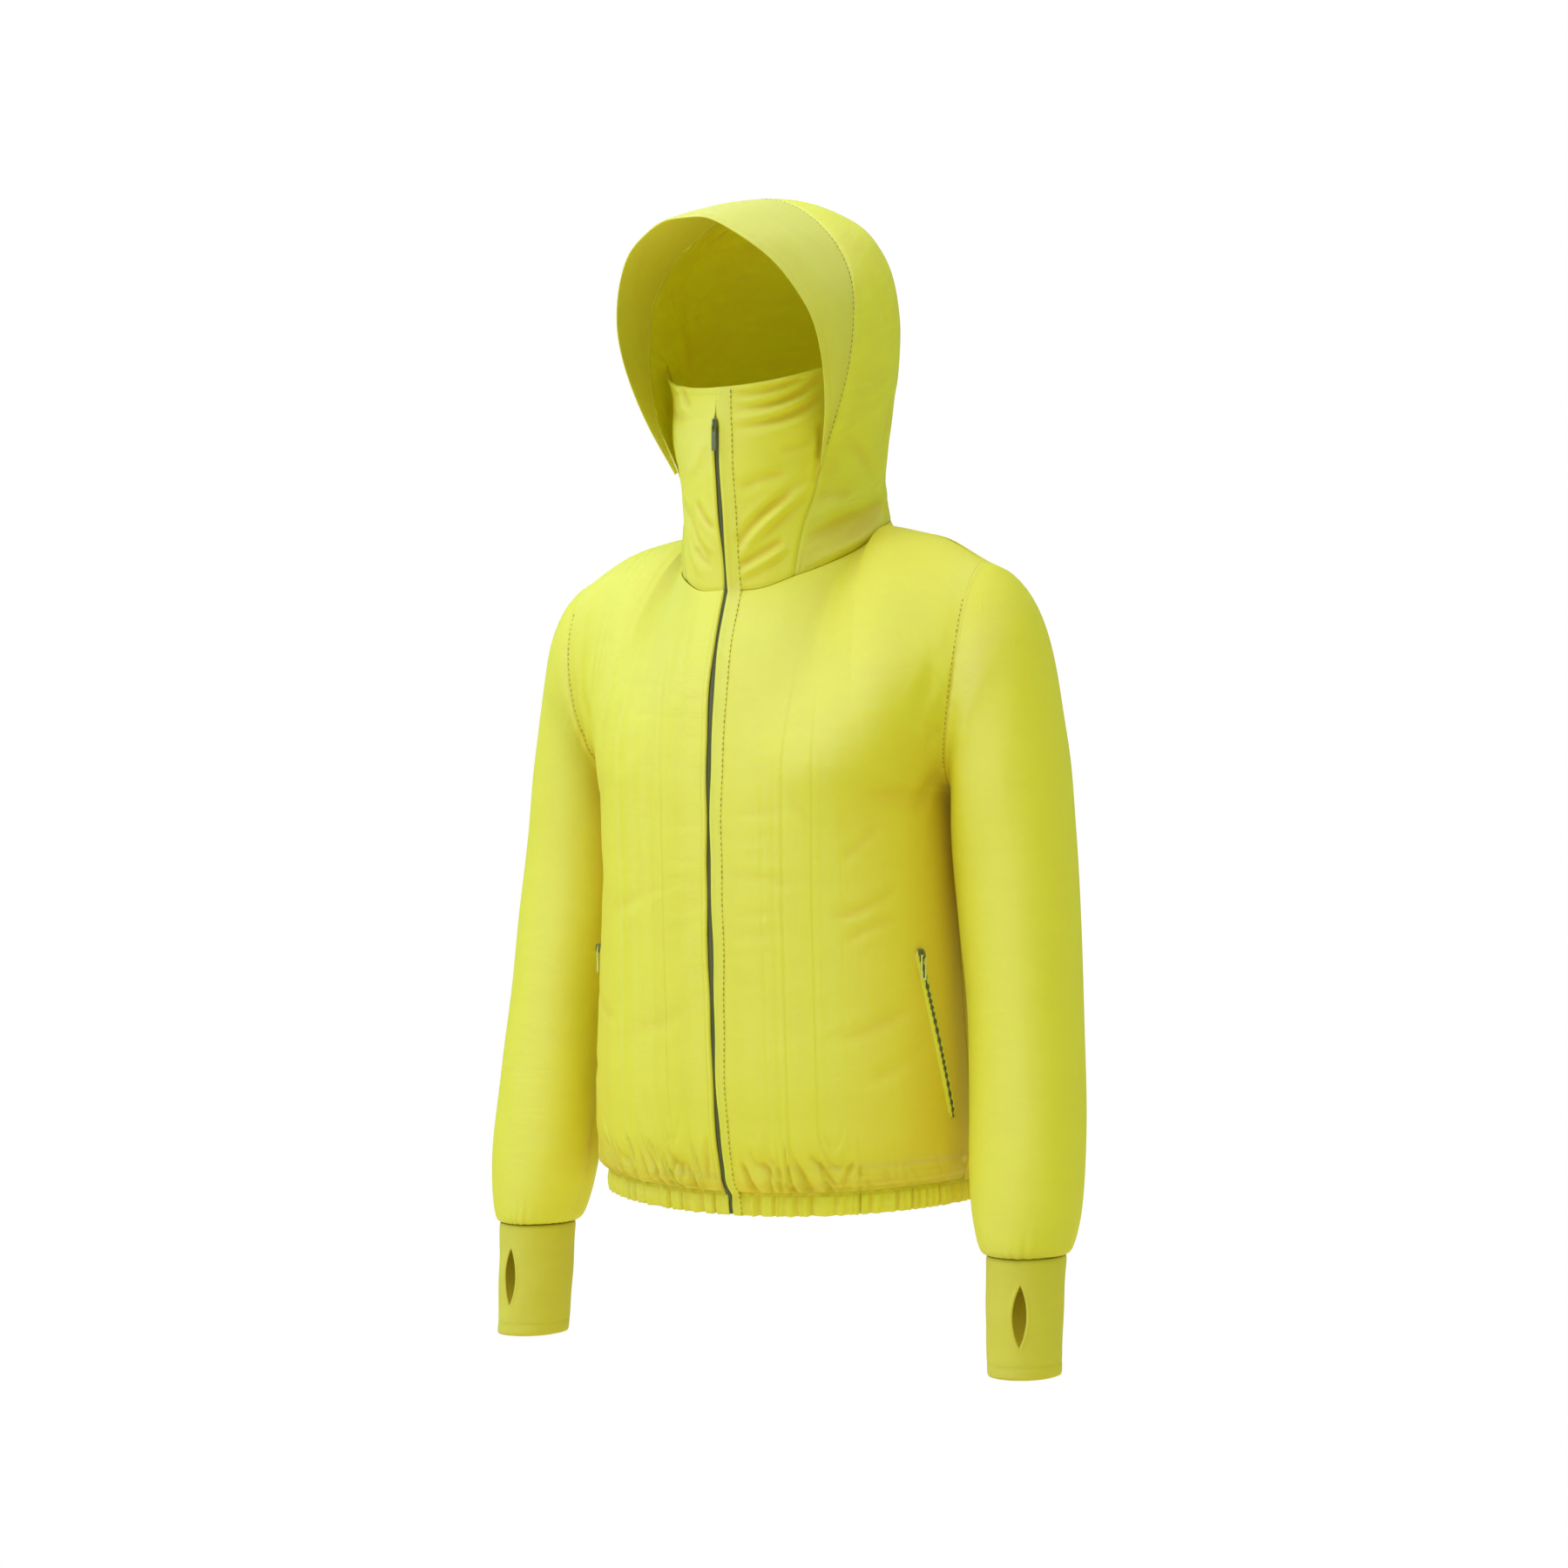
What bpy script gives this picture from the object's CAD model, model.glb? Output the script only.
# Hooded zip jacket with a mask collar, filled out as if worn, with nobody in it.
# Metres, +Z up, the front faces -Y and the jacket's left sleeve is at +X. Tables are in millimetres.
# A cloth piece starts as a grid of points: columns run to the right and rows run up, seen from outside.
# Each is formed as the left one of its pair, and mirrored for the right one, with folds of its own.

import math

import bmesh
import bpy
import numpy as np
from mathutils import Matrix, Vector
from mathutils.kdtree import KDTree


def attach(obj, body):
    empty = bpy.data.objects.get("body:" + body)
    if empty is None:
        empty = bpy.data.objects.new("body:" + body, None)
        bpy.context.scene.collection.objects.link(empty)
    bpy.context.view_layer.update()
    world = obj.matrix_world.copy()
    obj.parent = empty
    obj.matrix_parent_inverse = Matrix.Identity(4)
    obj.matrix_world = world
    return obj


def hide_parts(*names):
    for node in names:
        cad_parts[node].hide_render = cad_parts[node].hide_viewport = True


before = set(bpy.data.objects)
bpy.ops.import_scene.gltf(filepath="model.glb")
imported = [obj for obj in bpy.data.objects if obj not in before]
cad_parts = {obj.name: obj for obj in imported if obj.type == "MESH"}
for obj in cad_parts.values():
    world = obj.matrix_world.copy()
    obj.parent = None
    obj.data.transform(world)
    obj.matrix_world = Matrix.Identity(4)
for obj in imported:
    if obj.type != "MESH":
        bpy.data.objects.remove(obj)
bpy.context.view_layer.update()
mm = 0.001
flip = np.array([-1, 1, 1])  # over to the other side of the zip
otherSide = {"left": "right", "right": "left"}
noUnit = {"squareness", "seat", "seatShare", "lean", "turn0", "turn1"}  # columns that aren't lengths
walls = {}  # each cloth piece's finished grid, for what is sewn on it


def table(names, *rows):
    columns = dict(zip(names.split(), np.array(rows, float).T))
    return {name: values if name in noUnit else values * mm for name, values in columns.items()}


def foldTable(*rows):
    return table("across0 up0 across1 up1 bend width depth lean", *rows)


# Curves and grids


def hermite(t, start, leave, end, arrive):  # from start to end, leaving and arriving along two vectors
    return (
        (2 * t**3 - 3 * t**2 + 1) * start
        + (t**3 - 2 * t**2 + t) * leave
        + (3 * t**2 - 2 * t**3) * end
        + (t**3 - t**2) * arrive
    )


def smooth(knots, values, at):  # a smooth curve through the values at the knots
    knots, values = np.asarray(knots, float), np.asarray(values, float)
    slopes = np.gradient(values, knots, axis=0)
    at = np.clip(np.asarray(at, float), knots[0], knots[-1])
    i = np.clip(np.searchsorted(knots, at, side="right") - 1, 0, len(knots) - 2)
    step = knots[i + 1] - knots[i]
    t = (at - knots[i]) / step
    if values.ndim == 2:
        t, step = t[..., None], step[..., None]
    return hermite(t, values[i], step * slopes[i], values[i + 1], step * slopes[i + 1])


def tableAt(sections, at, knots=None):  # each column between the table's rows, by row number or other knots
    if knots is None:
        knots = range(len(next(iter(sections.values()))))
    return {name: smooth(knots, column, at) for name, column in sections.items()}


def pointsOf(columns):
    return np.stack([columns["x"], columns["y"], columns["z"]], axis=-1)


def lengthsAlong(points):
    return np.concatenate([[0], np.cumsum(np.linalg.norm(np.diff(points, axis=0), axis=1))])


def pointsAt(at, run, points):  # places along a line whose points lie at the lengths in run
    return np.stack([np.interp(at, run, points[:, i]) for i in range(3)], axis=-1)


def along(points, shares):  # on a smooth curve through the points
    run = lengthsAlong(points)
    return smooth(run / run[-1], points, shares)


def spread(points, shares):  # on the polyline itself
    run = lengthsAlong(points)
    return pointsAt(shares * run[-1], run, points)


def stepUp(t, start=0.0, width=1.0):  # rises from 0 to 1 over the width
    t = np.clip((t - start) / width, 0, 1)
    return t * t * (3 - 2 * t)


def hump(t, middle=0.0, width=1.0):  # 1 in the middle, and soon 0 on both sides
    t = (t - middle) / width
    return np.exp(-t * t)


def stops(length, step, edgeStep, reach=6 * mm, start=True, end=True):
    # shares of a length, a step apart, and closer together within reach of its ends
    d = np.linspace(0, length, 2001)
    near = start * hump(d / reach) + end * hump((length - d) / reach)
    density = 1 / step + (1 / edgeStep - 1 / step) * np.minimum(near, 1)
    run = np.concatenate([[0], np.cumsum((density[1:] + density[:-1]) / 2 * np.diff(d))])
    return np.interp(np.linspace(0, run[-1], int(run[-1]) + 2), run, d) / length


def stopsAlong(run, knots, *spacing):  # the knots' values at such stops along a run
    return np.interp(stops(run[-1], *spacing) * run[-1], run, knots)


def gridNormals(grid, closed=False):
    if closed:
        grid = np.concatenate([grid[:, -2:], grid, grid[:, :2]], axis=1)
    normals = np.cross(np.gradient(grid, axis=1, edge_order=2), np.gradient(grid, axis=0, edge_order=2))
    normals /= np.maximum(np.linalg.norm(normals, axis=2, keepdims=True), 1e-12)
    return normals[:, 2:-2] if closed else normals


def acrossOf(grid, closed=False):  # how far each point lies from the left edge, measured on the cloth
    if closed:
        grid = np.concatenate([grid, grid[:, :1]], axis=1)
    steps = np.linalg.norm(np.diff(grid, axis=1), axis=2)
    return np.concatenate([np.zeros((len(grid), 1)), np.cumsum(steps, axis=1)], axis=1)


def upOf(grid):  # how far each point lies from the bottom edge
    steps = np.linalg.norm(np.diff(grid, axis=0), axis=2)
    return np.concatenate([np.zeros((1, grid.shape[1])), np.cumsum(steps, axis=0)])


def fromEdge(grid, side):  # how far each point lies from one edge
    if side in ("left", "right"):
        run = acrossOf(grid)
        return run if side == "left" else run[:, -1:] - run
    run = upOf(grid)
    return run if side == "bottom" else run[-1:] - run


def alongEdge(grid, side):  # how far along that edge each point lies
    if side in ("left", "right"):
        return upOf(grid)[:, :1] if side == "left" else upOf(grid)[:, -1:]
    return acrossOf(grid)[:1] if side == "bottom" else acrossOf(grid)[-1:]


def mirrored(grid):
    return (grid * flip)[:, ::-1]


def sided(grid, side):  # every piece is formed as the left one
    return grid if side == "left" else mirrored(grid)


def unit(vectors):
    return vectors / np.maximum(np.linalg.norm(vectors, axis=-1, keepdims=True), 1e-12)


def soften(values, passes, axis=0):  # takes the kinks out along one way of a grid, and keeps its ends
    values = np.moveaxis(np.array(values, float), axis, 0)
    for _ in range(passes):
        values[1:-1] = (values[:-2] + 2 * values[1:-1] + values[2:]) / 4
    return np.moveaxis(values, 0, axis)


def between(grid, row, column):  # the grid's values at places between its rows and columns
    r = np.clip(np.floor(row).astype(int), 0, grid.shape[0] - 2)
    c = np.clip(np.floor(column).astype(int), 0, grid.shape[1] - 2)
    a, b = (row - r)[:, None], (column - c)[:, None]
    low = grid[r, c] * (1 - b) + grid[r, c + 1] * b
    high = grid[r + 1, c] * (1 - b) + grid[r + 1, c + 1] * b
    return low * (1 - a) + high * a


swayLook = {
    "waves": ((0.6 * mm, 33 * mm, 0.6), (0.35 * mm, 12 * mm, 2)),  # size, length over a full turn, phase
    "reach": 30 * mm,  # how far to each side of the zip it is felt
    "front": 85 * mm,  # it grows from here forwards
    "growth": 20 * mm,
}


def sway(grid):  # the zip, and the cloth beside it, waver a little from side to side
    offset = sum(size * np.sin(grid[..., 2] / length + phase) for size, length, phase in swayLook["waves"])
    near = hump(grid[..., 0] / swayLook["reach"])
    near = near * stepUp(-grid[..., 1], swayLook["front"], swayLook["growth"])
    return grid + (offset * near)[..., None] * np.array([1, 0, 0])


def ribbon(line, out, offsets, lifts):  # rows follow the line, columns run across it
    across = unit(np.cross(np.gradient(line, axis=0), out))
    return line[:, None] + across[:, None] * offsets[..., None] + out[:, None] * lifts[..., None]


def insetLine(grid, side, inset):  # a line along one edge, a little way in from it
    normals = gridNormals(grid)
    if side in ("bottom", "top"):
        grid, normals = grid.transpose(1, 0, 2), normals.transpose(1, 0, 2)
    if side in ("right", "top"):
        grid, normals = grid[:, ::-1], normals[:, ::-1]
    line, out = [], []
    near = 24  # points from the edge that are enough to reach the inset
    for row, above in zip(grid[:, :near], normals[:, :near]):
        run = lengthsAlong(row)
        line.append(pointsAt(inset, run, row))
        out.append(pointsAt(inset, run, above))
    return np.array(line), unit(np.array(out))


# Folds, all as heights off the cloth's first form


seamDepths = {"flat": 0.35 * mm, "gathered": 0.6 * mm}


def raised(grid, lift, closed=False):  # the cloth with its folds
    return grid + lift[..., None] * gridNormals(grid, closed)


def seamDip(grid, side, depth=1.1 * mm, reach=2.6 * mm):
    return -depth * hump(fromEdge(grid, side) / reach)


edgeRolls = {  # a turned edge: its roll's height, middle and width, and the dip at the edge with its reach
    "zip": (0.8 * mm, 2.2 * mm, 1.5 * mm, 1.2 * mm, 0.8 * mm),
    "band": (1.1 * mm, 9 * mm, 5 * mm, 0.7 * mm, 1.5 * mm),
    "slit": (0.7 * mm, 1.6 * mm, 1.3 * mm, 0.6 * mm, 0.6 * mm),
    "mask": (0.8 * mm, 2.4 * mm, 2.0 * mm, 0.9 * mm, 0.9 * mm),
}


def edgeRoll(name, distance):
    height, middle, width, dip, reach = edgeRolls[name]
    return height * hump(distance, middle, width) - dip * hump(distance / reach)


def valleys(phase, sharpness=1.6):  # 1 along sharp lines, low and round between them
    return (1 - np.abs(np.sin(phase))) ** sharpness


tuckStart = 2.5 * mm  # tucks begin off their seam, so that both pieces' edges meet


def pinches(grid, side, spacing, depth, reach, seed):  # short sharp tucks that run off a seam
    s = alongEdge(grid, side)
    d = fromEdge(grid, side)
    drift = 0.9 * np.sin(s / (2.3 * spacing) + seed) + 0.6 * np.sin(s / (1.1 * spacing) + 2.4 * seed)
    valley = valleys(math.pi * s / spacing + drift + seed)
    size = 0.6 + 0.4 * np.sin(s / (1.7 * spacing) + 3.1 * seed)
    far = reach * (0.75 + 0.35 * np.sin(s / (2.9 * spacing) + 5 * seed))
    return -depth * size * (valley - 0.3) * np.exp(-((d / far) ** 1.4)) * stepUp(d / tuckStart)


def onCloth(tree, points, u, v):  # the place in space of one place of the plan
    found = tree.find_n((u, v, 0), 4)
    weights = np.array([1 / (distance + 0.1 * mm) for _, _, distance in found])
    return weights @ points[[index for _, index, _ in found]] / weights.sum()


creaseLook = {
    "points": 19,  # along each crease's line
    "passes": 3,  # of softening that line
    "reach": 4,  # how many of its widths away a crease has faded out
    "swing": 0.25,  # how much its depth varies along it
    "bulge": (0.3, 1.9, 0.9),  # cloth pushed up beside it: height, distance and width, as shares of its own
    "lean": 1.6,
}


def creases(grid, plan, rows):  # each row: a soft trough or ridge from one place of the cloth to another
    lift = np.zeros(grid.shape[:2])
    flat = plan.reshape(-1, 2)
    points = grid.reshape(-1, 3)
    normals = gridNormals(grid).reshape(-1, 3)
    tree = KDTree(len(flat))
    for i, (u, v) in enumerate(flat):
        tree.insert((u, v, 0), i)
    tree.balance()
    names = list(rows)
    height, away, wide = creaseLook["bulge"]
    for values in zip(*rows.values()):
        row = dict(zip(names, values))
        t = np.linspace(0, 1, creaseLook["points"])
        start = np.array([row[names[0]], row[names[1]]])
        chord = np.array([row[names[2]], row[names[3]]]) - start
        length = np.linalg.norm(chord)
        sideways = np.array([-chord[1], chord[0]]) / length
        line = start + t[:, None] * chord + (4 * t * (1 - t) * row["bend"])[:, None] * sideways
        line = soften([onCloth(tree, points, u, v) for u, v in line], creaseLook["passes"])
        reach = creaseLook["reach"] * row["width"]
        low, high = line.min(0) - reach, line.max(0) + reach
        near = np.nonzero(((points > low) & (points < high)).all(axis=1))[0]
        best = np.full(len(near), np.inf)
        where = np.zeros(len(near))
        sign = np.ones(len(near))
        for i, (a, b) in enumerate(zip(line[:-1], line[1:])):
            way = b - a
            span = max(way @ way, 1e-12)
            share = np.clip((points[near] - a) @ way / span, 0, 1)
            off = points[near] - a - share[:, None] * way
            distance = np.linalg.norm(off, axis=1)
            closer = distance < best
            best = np.where(closer, distance, best)
            where = np.where(closer, (i + share) / (len(line) - 1), where)
            turned = np.einsum("ij,ij->i", off, np.cross(normals[near], way))
            sign = np.where(closer, np.sign(turned), sign)
        s = sign * best / row["width"]
        swing = 1 + creaseLook["swing"] * np.sin(7 * where + 40 * length)
        ends = np.sin(math.pi * np.clip(where, 0.001, 0.999)) ** 0.6
        leaning = row["lean"] * creaseLook["lean"] * s * hump(s)
        form = hump(s) - height * hump(np.abs(s), away, wide) + leaning
        lift.ravel()[near] += row["depth"] * swing * ends * form
    return lift


def ripple(grid, size, depth, seed, slant=0.0):  # uneven soft waves, so that no stretch is quite smooth
    up = upOf(grid)
    u = acrossOf(grid) + slant * up
    wave = np.sin(u / size + 1.7 * np.sin(up / (2.1 * size) + seed))
    wave += 0.7 * np.sin(0.61 * u / size - up / (1.4 * size) + 2 * seed)
    wave += 0.5 * np.sin(1.9 * u / size + 0.8 * np.sin(up / size + 4 * seed) + seed)
    patch = 0.55 + 0.45 * np.sin(up / (5 * size) + u / (6 * size) + 3 * seed)
    return depth * 0.5 * wave * patch


# Materials


class Value:  # a socket that can be used in sums
    def __init__(self, tree, socket):
        self.tree = tree
        self.socket = socket

    def maths(self, operation, first, second):
        node = self.tree.nodes.new("ShaderNodeMath")
        node.operation = operation
        for slot, side in zip(node.inputs, (first, second)):
            if isinstance(side, Value):
                self.tree.links.new(side.socket, slot)
            else:
                slot.default_value = side
        return Value(self.tree, node.outputs[0])

    def __add__(self, other):
        return self.maths("ADD", self, other)

    def __radd__(self, other):
        return self.maths("ADD", other, self)

    def __sub__(self, other):
        return self.maths("SUBTRACT", self, other)

    def __rsub__(self, other):
        return self.maths("SUBTRACT", other, self)

    def __mul__(self, other):
        return self.maths("MULTIPLY", self, other)

    def __rmul__(self, other):
        return self.maths("MULTIPLY", other, self)


class Finish:  # one material, built node by node
    def __init__(self, name, **constants):
        self.material = bpy.data.materials.new(name)
        self.material.use_nodes = True
        self.tree = self.material.node_tree
        self.shader = self.tree.nodes["Principled BSDF"]
        for socket, value in constants.items():
            self.shader.inputs[socket.replace("_", " ")].default_value = value

    def add(self, kind, settings, sockets, output=0):
        node = self.tree.nodes.new(kind)
        for name, value in settings.items():
            setattr(node, name, value)
        for name, value in sockets.items():
            if isinstance(value, Value):
                self.tree.links.new(value.socket, node.inputs[name])
            else:
                node.inputs[name].default_value = value
        return Value(self.tree, node.outputs[output])

    def feed(self, socket, value):
        self.tree.links.new(value.socket, self.shader.inputs[socket])

    def mix(self, factor, first, second):  # one colour into another
        return self.add("ShaderNodeMix", {"data_type": "RGBA"}, {0: factor, 6: first, 7: second}, 2)

    def noise(self, place, **sockets):
        return self.add("ShaderNodeTexNoise", {}, {"Vector": place, **sockets})

    def relieve(self, height, strength, distance):
        sockets = {"Strength": strength, "Distance": distance, "Height": height}
        self.feed("Normal", self.add("ShaderNodeBump", {}, sockets, "Normal"))


clothLook = {
    "weavePitch": 0.62 * mm,  # one thread to the next
    "weaveDepth": 0.05,
    "crinkleScale": 62,  # crinkles a metre, across them
    "crinkleStretch": 0.28,  # how long they run
    "crinkleDepth": 0.5,
    "relief": 1.6 * mm,  # the height of all of it
    "sheen": 0.1,
    "sheenTint": (0.9, 1.0, 0.4, 1),
    "lightReach": (1.0, 0.8, 0.03),  # how far each colour of light travels in the cloth
    "foldShade": (0.97, 0.86, 0.35),  # colour in the folds, where light goes through the cloth twice
    "foldDepth": 1.2 * mm,  # a hollow this deep is fully shaded
    "foldWidth": 20,  # the passes of softening that tell a fold from the form below it
}


def clothFinish(name, lit, deep, roughness, crinkle=1.0, turn=0.35, glow=(0.3, 1.0)):
    # glow: how much light the cloth lets in, and how far it spreads, in mm
    finish = Finish(
        name,
        Sheen_Weight=clothLook["sheen"],
        Sheen_Roughness=0.5,
        Sheen_Tint=clothLook["sheenTint"],
        IOR=1.6,
        Specular_IOR_Level=0.9,
        Subsurface_Weight=glow[0],
        Subsurface_Radius=clothLook["lightReach"],
        Subsurface_Scale=glow[1] * mm,
    )
    place = finish.add("ShaderNodeTexCoord", {}, {}, "Object")
    clothMap = finish.add("ShaderNodeUVMap", {"uv_map": "cloth"}, {}, "UV")
    stretch = {"Rotation": (0, 0, turn), "Scale": (clothLook["crinkleStretch"], 1, 1)}
    turned = finish.add("ShaderNodeMapping", {}, {"Vector": clothMap, **stretch})
    fine = finish.noise(turned, Scale=clothLook["crinkleScale"], Detail=3, Roughness=0.55, Distortion=0.6)
    broad = finish.noise(place, Scale=21, Detail=2, Distortion=0.8)
    patch = finish.noise(place, Scale=7, Detail=1)
    split = finish.add("ShaderNodeSeparateXYZ", {}, {"Vector": clothMap}, "X")
    other = Value(finish.tree, split.socket.node.outputs["Y"])
    thread = 2 * math.pi / clothLook["weavePitch"]
    weft = (split * thread).maths("SINE", split * thread, 0)
    warp = (other * thread).maths("SINE", other * thread, 0)
    relief = crinkle * (fine * clothLook["crinkleDepth"] * (0.4 + patch) + broad * 0.5)
    weave = (weft * warp) * clothLook["weaveDepth"]
    finish.relieve(relief + weave, 1.0, clothLook["relief"])
    shadeRange = {"Value": fine * 0.6 + broad * 0.4, "From Min": 0.3, "From Max": 0.62}
    shade = finish.add("ShaderNodeMapRange", {}, shadeRange)
    plain = finish.mix(shade, (*deep, 1), (*lit, 1))
    golden = tuple(part * share for part, share in zip(deep, clothLook["foldShade"]))
    hollow = finish.add("ShaderNodeAttribute", {"attribute_name": "hollow"}, {}, "Fac")
    finish.feed("Base Color", finish.mix(hollow, plain, (*golden, 1)))
    finish.feed("Roughness", roughness + 0.12 * (broad - 0.5) + 0.05 * (weft * warp))
    return finish.material


plainLook = {
    "wear": 0.15,  # how much paler the grain's high spots are
    "relief": 0.1 * mm,
    "reliefStrength": 0.2,
}


def plainFinish(name, colour, roughness, metallic=0.0, grain=300):
    finish = Finish(name, Metallic=metallic, Specular_IOR_Level=0.45)
    place = finish.add("ShaderNodeTexCoord", {}, {}, "Object")
    noise = finish.noise(place, Scale=grain, Detail=3)
    wear = plainLook["wear"]
    worn = tuple(min(1, part * (1 + wear) + 0.3 * wear) for part in colour)
    finish.feed("Base Color", finish.mix(noise, (*colour, 1), (*worn, 1)))
    finish.feed("Roughness", roughness + 0.2 * (noise - 0.5))
    finish.relieve(noise, plainLook["reliefStrength"], plainLook["relief"])
    return finish.material


yellow = (0.945, 0.835, 0.005)
shellCloth = clothFinish("shellCloth", yellow, (0.920, 0.800, 0.004), 0.50)
hoodLook = {"crinkle": 2.4, "turn": 0.9, "glow": (0.7, 2.5)}
hoodCloth = clothFinish("hoodCloth", yellow, (0.880, 0.730, 0.004), 0.50, **hoodLook)
brimLook = {"crinkle": 0.5, "glow": (0.7, 3.0)}
brimCloth = clothFinish("brimCloth", (0.765, 0.705, 0.060), (0.745, 0.665, 0.035), 0.62, **brimLook)
stretchCloth = clothFinish("stretchCloth", (0.790, 0.680, 0.009), (0.755, 0.645, 0.007), 0.70, crinkle=0.3)
threadFinish = plainFinish("thread", (0.66, 0.60, 0.03), 0.6, grain=900)
goldThread = plainFinish("goldThread", (0.42, 0.30, 0.01), 0.6, grain=900)
brimThread = plainFinish("brimThread", (0.16, 0.15, 0.02), 0.6, grain=900)
coilFinish = plainFinish("zipCoil", (0.185, 0.185, 0.070), 0.55, grain=700)
tapeFinish = plainFinish("zipTape", (0.110, 0.112, 0.035), 0.8, grain=1200)
sliderFinish = plainFinish("sliderPaint", (0.150, 0.150, 0.050), 0.42, metallic=0.3, grain=420)
loopFinish = plainFinish("pullLoop", (0.66, 0.67, 0.20), 0.5, grain=500)
print("finishes made")


# Pieces


def hollowOf(grid, closed):  # how far each point lies below the cloth around it
    wrap = 24  # columns repeated past a tube's seam
    passes = clothLook["foldWidth"]
    wide = np.concatenate([grid[:, -wrap:], grid, grid[:, :wrap]], axis=1) if closed else grid
    even = soften(soften(wide, passes), passes, axis=1)
    even = even[:, wrap:-wrap] if closed else even
    depth = np.einsum("ijk,ijk->ij", even - grid, gridNormals(grid, closed))
    return np.clip(depth / clothLook["foldDepth"], 0, 1)


def skinMesh(name, grid, closed=False, shade=0.0):
    rows, columns = grid.shape[:2]
    number = np.arange(rows * columns).reshape(rows, columns)
    if closed:
        number = np.concatenate([number, number[:, :1]], axis=1)
    corners = [number[:-1, :-1], number[:-1, 1:], number[1:, 1:], number[1:, :-1]]
    faces = np.stack(corners, axis=-1).reshape(-1, 4)
    mesh = bpy.data.meshes.new(name)
    mesh.from_pydata(grid.reshape(-1, 3).tolist(), [], faces.tolist())
    across = acrossOf(grid, closed)
    up = upOf(grid)
    if closed:
        up = np.concatenate([up, up[:, :1]], axis=1)
    both = np.stack([across, up], axis=-1)
    uv = np.stack([both[:-1, :-1], both[:-1, 1:], both[1:, 1:], both[1:, :-1]], axis=2)
    mesh.uv_layers.new(name="cloth").data.foreach_set("uv", uv.reshape(-1).astype(np.float32))
    hollow = mesh.attributes.new("hollow", "FLOAT", "POINT")
    depth = np.clip(hollowOf(grid, closed) + shade, 0, 1)
    hollow.data.foreach_set("value", depth.reshape(-1).astype(np.float32))
    mesh.shade_smooth()
    return mesh


def joined(name, meshes):  # one mesh out of several
    both = bmesh.new()
    for mesh in meshes:
        both.from_mesh(mesh)
    together = bpy.data.meshes.new(name)
    both.to_mesh(together)
    both.free()
    for mesh in meshes:
        bpy.data.meshes.remove(mesh)
    return together


def welded(mesh):  # closes the seam of a tube whose side edges meet
    seam = bmesh.new()
    seam.from_mesh(mesh)
    bmesh.ops.remove_doubles(seam, verts=seam.verts, dist=0.01 * mm)
    seam.to_mesh(mesh)
    seam.free()
    return mesh


def addPiece(name, mesh, finish, slot, nodes=(), thickness=0.0):
    piece = bpy.data.objects.new(name, mesh)
    bpy.context.scene.collection.objects.link(piece)
    mesh.materials.clear()
    mesh.materials.append(finish)
    if thickness:
        wall = piece.modifiers.new("Wall", "SOLIDIFY")
        wall.thickness = thickness
        wall.offset = -1
        wall.use_quality_normals = True
    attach(piece, "jacket")
    if nodes:
        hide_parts(*nodes)
    return piece


clothPiece = {"finish": shellCloth, "slot": "shell_cloth", "thickness": 0.8 * mm}


def addCloth(name, grid, cut, sewnTo, closed=False, lips=(), weld=False, shade=0.0, **other):
    # lips are strips in the same mesh, and shade deepens the colour
    walls[name] = grid
    mesh = skinMesh(name, grid, closed, shade)
    if lips:
        mesh = joined(name, [mesh] + [skinMesh(name, lip) for lip in lips])
    if weld:
        mesh = welded(mesh)
    piece = addPiece(name + "_cloth", mesh, nodes=(name,), **{**clothPiece, **other})


# Body: two fronts, one back, and the hem band


bodyCut = {
    "sections": table(
        "height halfWidth frontDepth backDepth squareness",
        (-612, 171, 107, 109, 2.2),
        (-593, 173, 113, 113, 2.2),
        (-568, 178, 126, 119, 2.3),
        (-524, 179, 136, 122, 2.3),
        (-425, 173, 144, 119, 2.3),
        (-310, 165, 150, 117, 2.4),
        (-245, 163, 151, 121, 2.6),
    ),
    "frontLine": table(
        "y z", (-151, -245), (-149, -200), (-145, -155), (-137, -118), (-126, -87), (-119, -69)
    ),
    "frontNeck": table(
        "x y z",
        (0, -119, -69),
        (30, -110, -67),
        (52, -96, -57.5),
        (70, -74, -47),
        (81, -42, -34),
        (88, -12, -19),
        (92, 9, -4),
    ),
    "shoulder": table(
        "x y z", (92, 9, -4), (120, 7, -8), (150, 5, -17.5), (178, 3, -31.5), (196, 3, -44)
    ),
    "backNeck": table("x y z", (0, 75, 8), (30, 73, 7.5), (60, 64, 5.5), (82, 40, 2), (92, 9, -4)),
    "hemBottom": -612 * mm,
    "hemSeam": -593 * mm,
    "underarm": -245 * mm,
    "sideLift": 10 * mm,  # the hem rises this much at the sides
    "liftTop": -480 * mm,
    "zipGap": 1.9 * mm,  # from the zip's middle to the cloth's fold
    "seamHalfWidth": 173 * mm,
    "neckDrop": (2.4 * mm, 122 * mm, 24 * mm),  # how far, where and how widely the cloth lies lower
    "seamRise": (1.2 * mm, 196 * mm, 14 * mm),
    "gathers": 76,  # all round the hem
    "puckerDepth": 5.2 * mm,
    "puckerReach": (9 * mm, 46 * mm),  # how far up the shortest and the longest run
    "puckerSize": (0.15, 1.6),
    "seamCalm": 3 * mm,  # gathers start this far from the hem seam, so that body and band meet
    "columnStops": (265 * mm, 1.9 * mm, 0.8 * mm, 5 * mm),  # as stops takes them
    "rowStops": (348 * mm, 4.6 * mm, 1.3 * mm, 26 * mm),
    "yokeStops": (215 * mm, 4.6 * mm, 0.9 * mm, 6 * mm),
}


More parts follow.
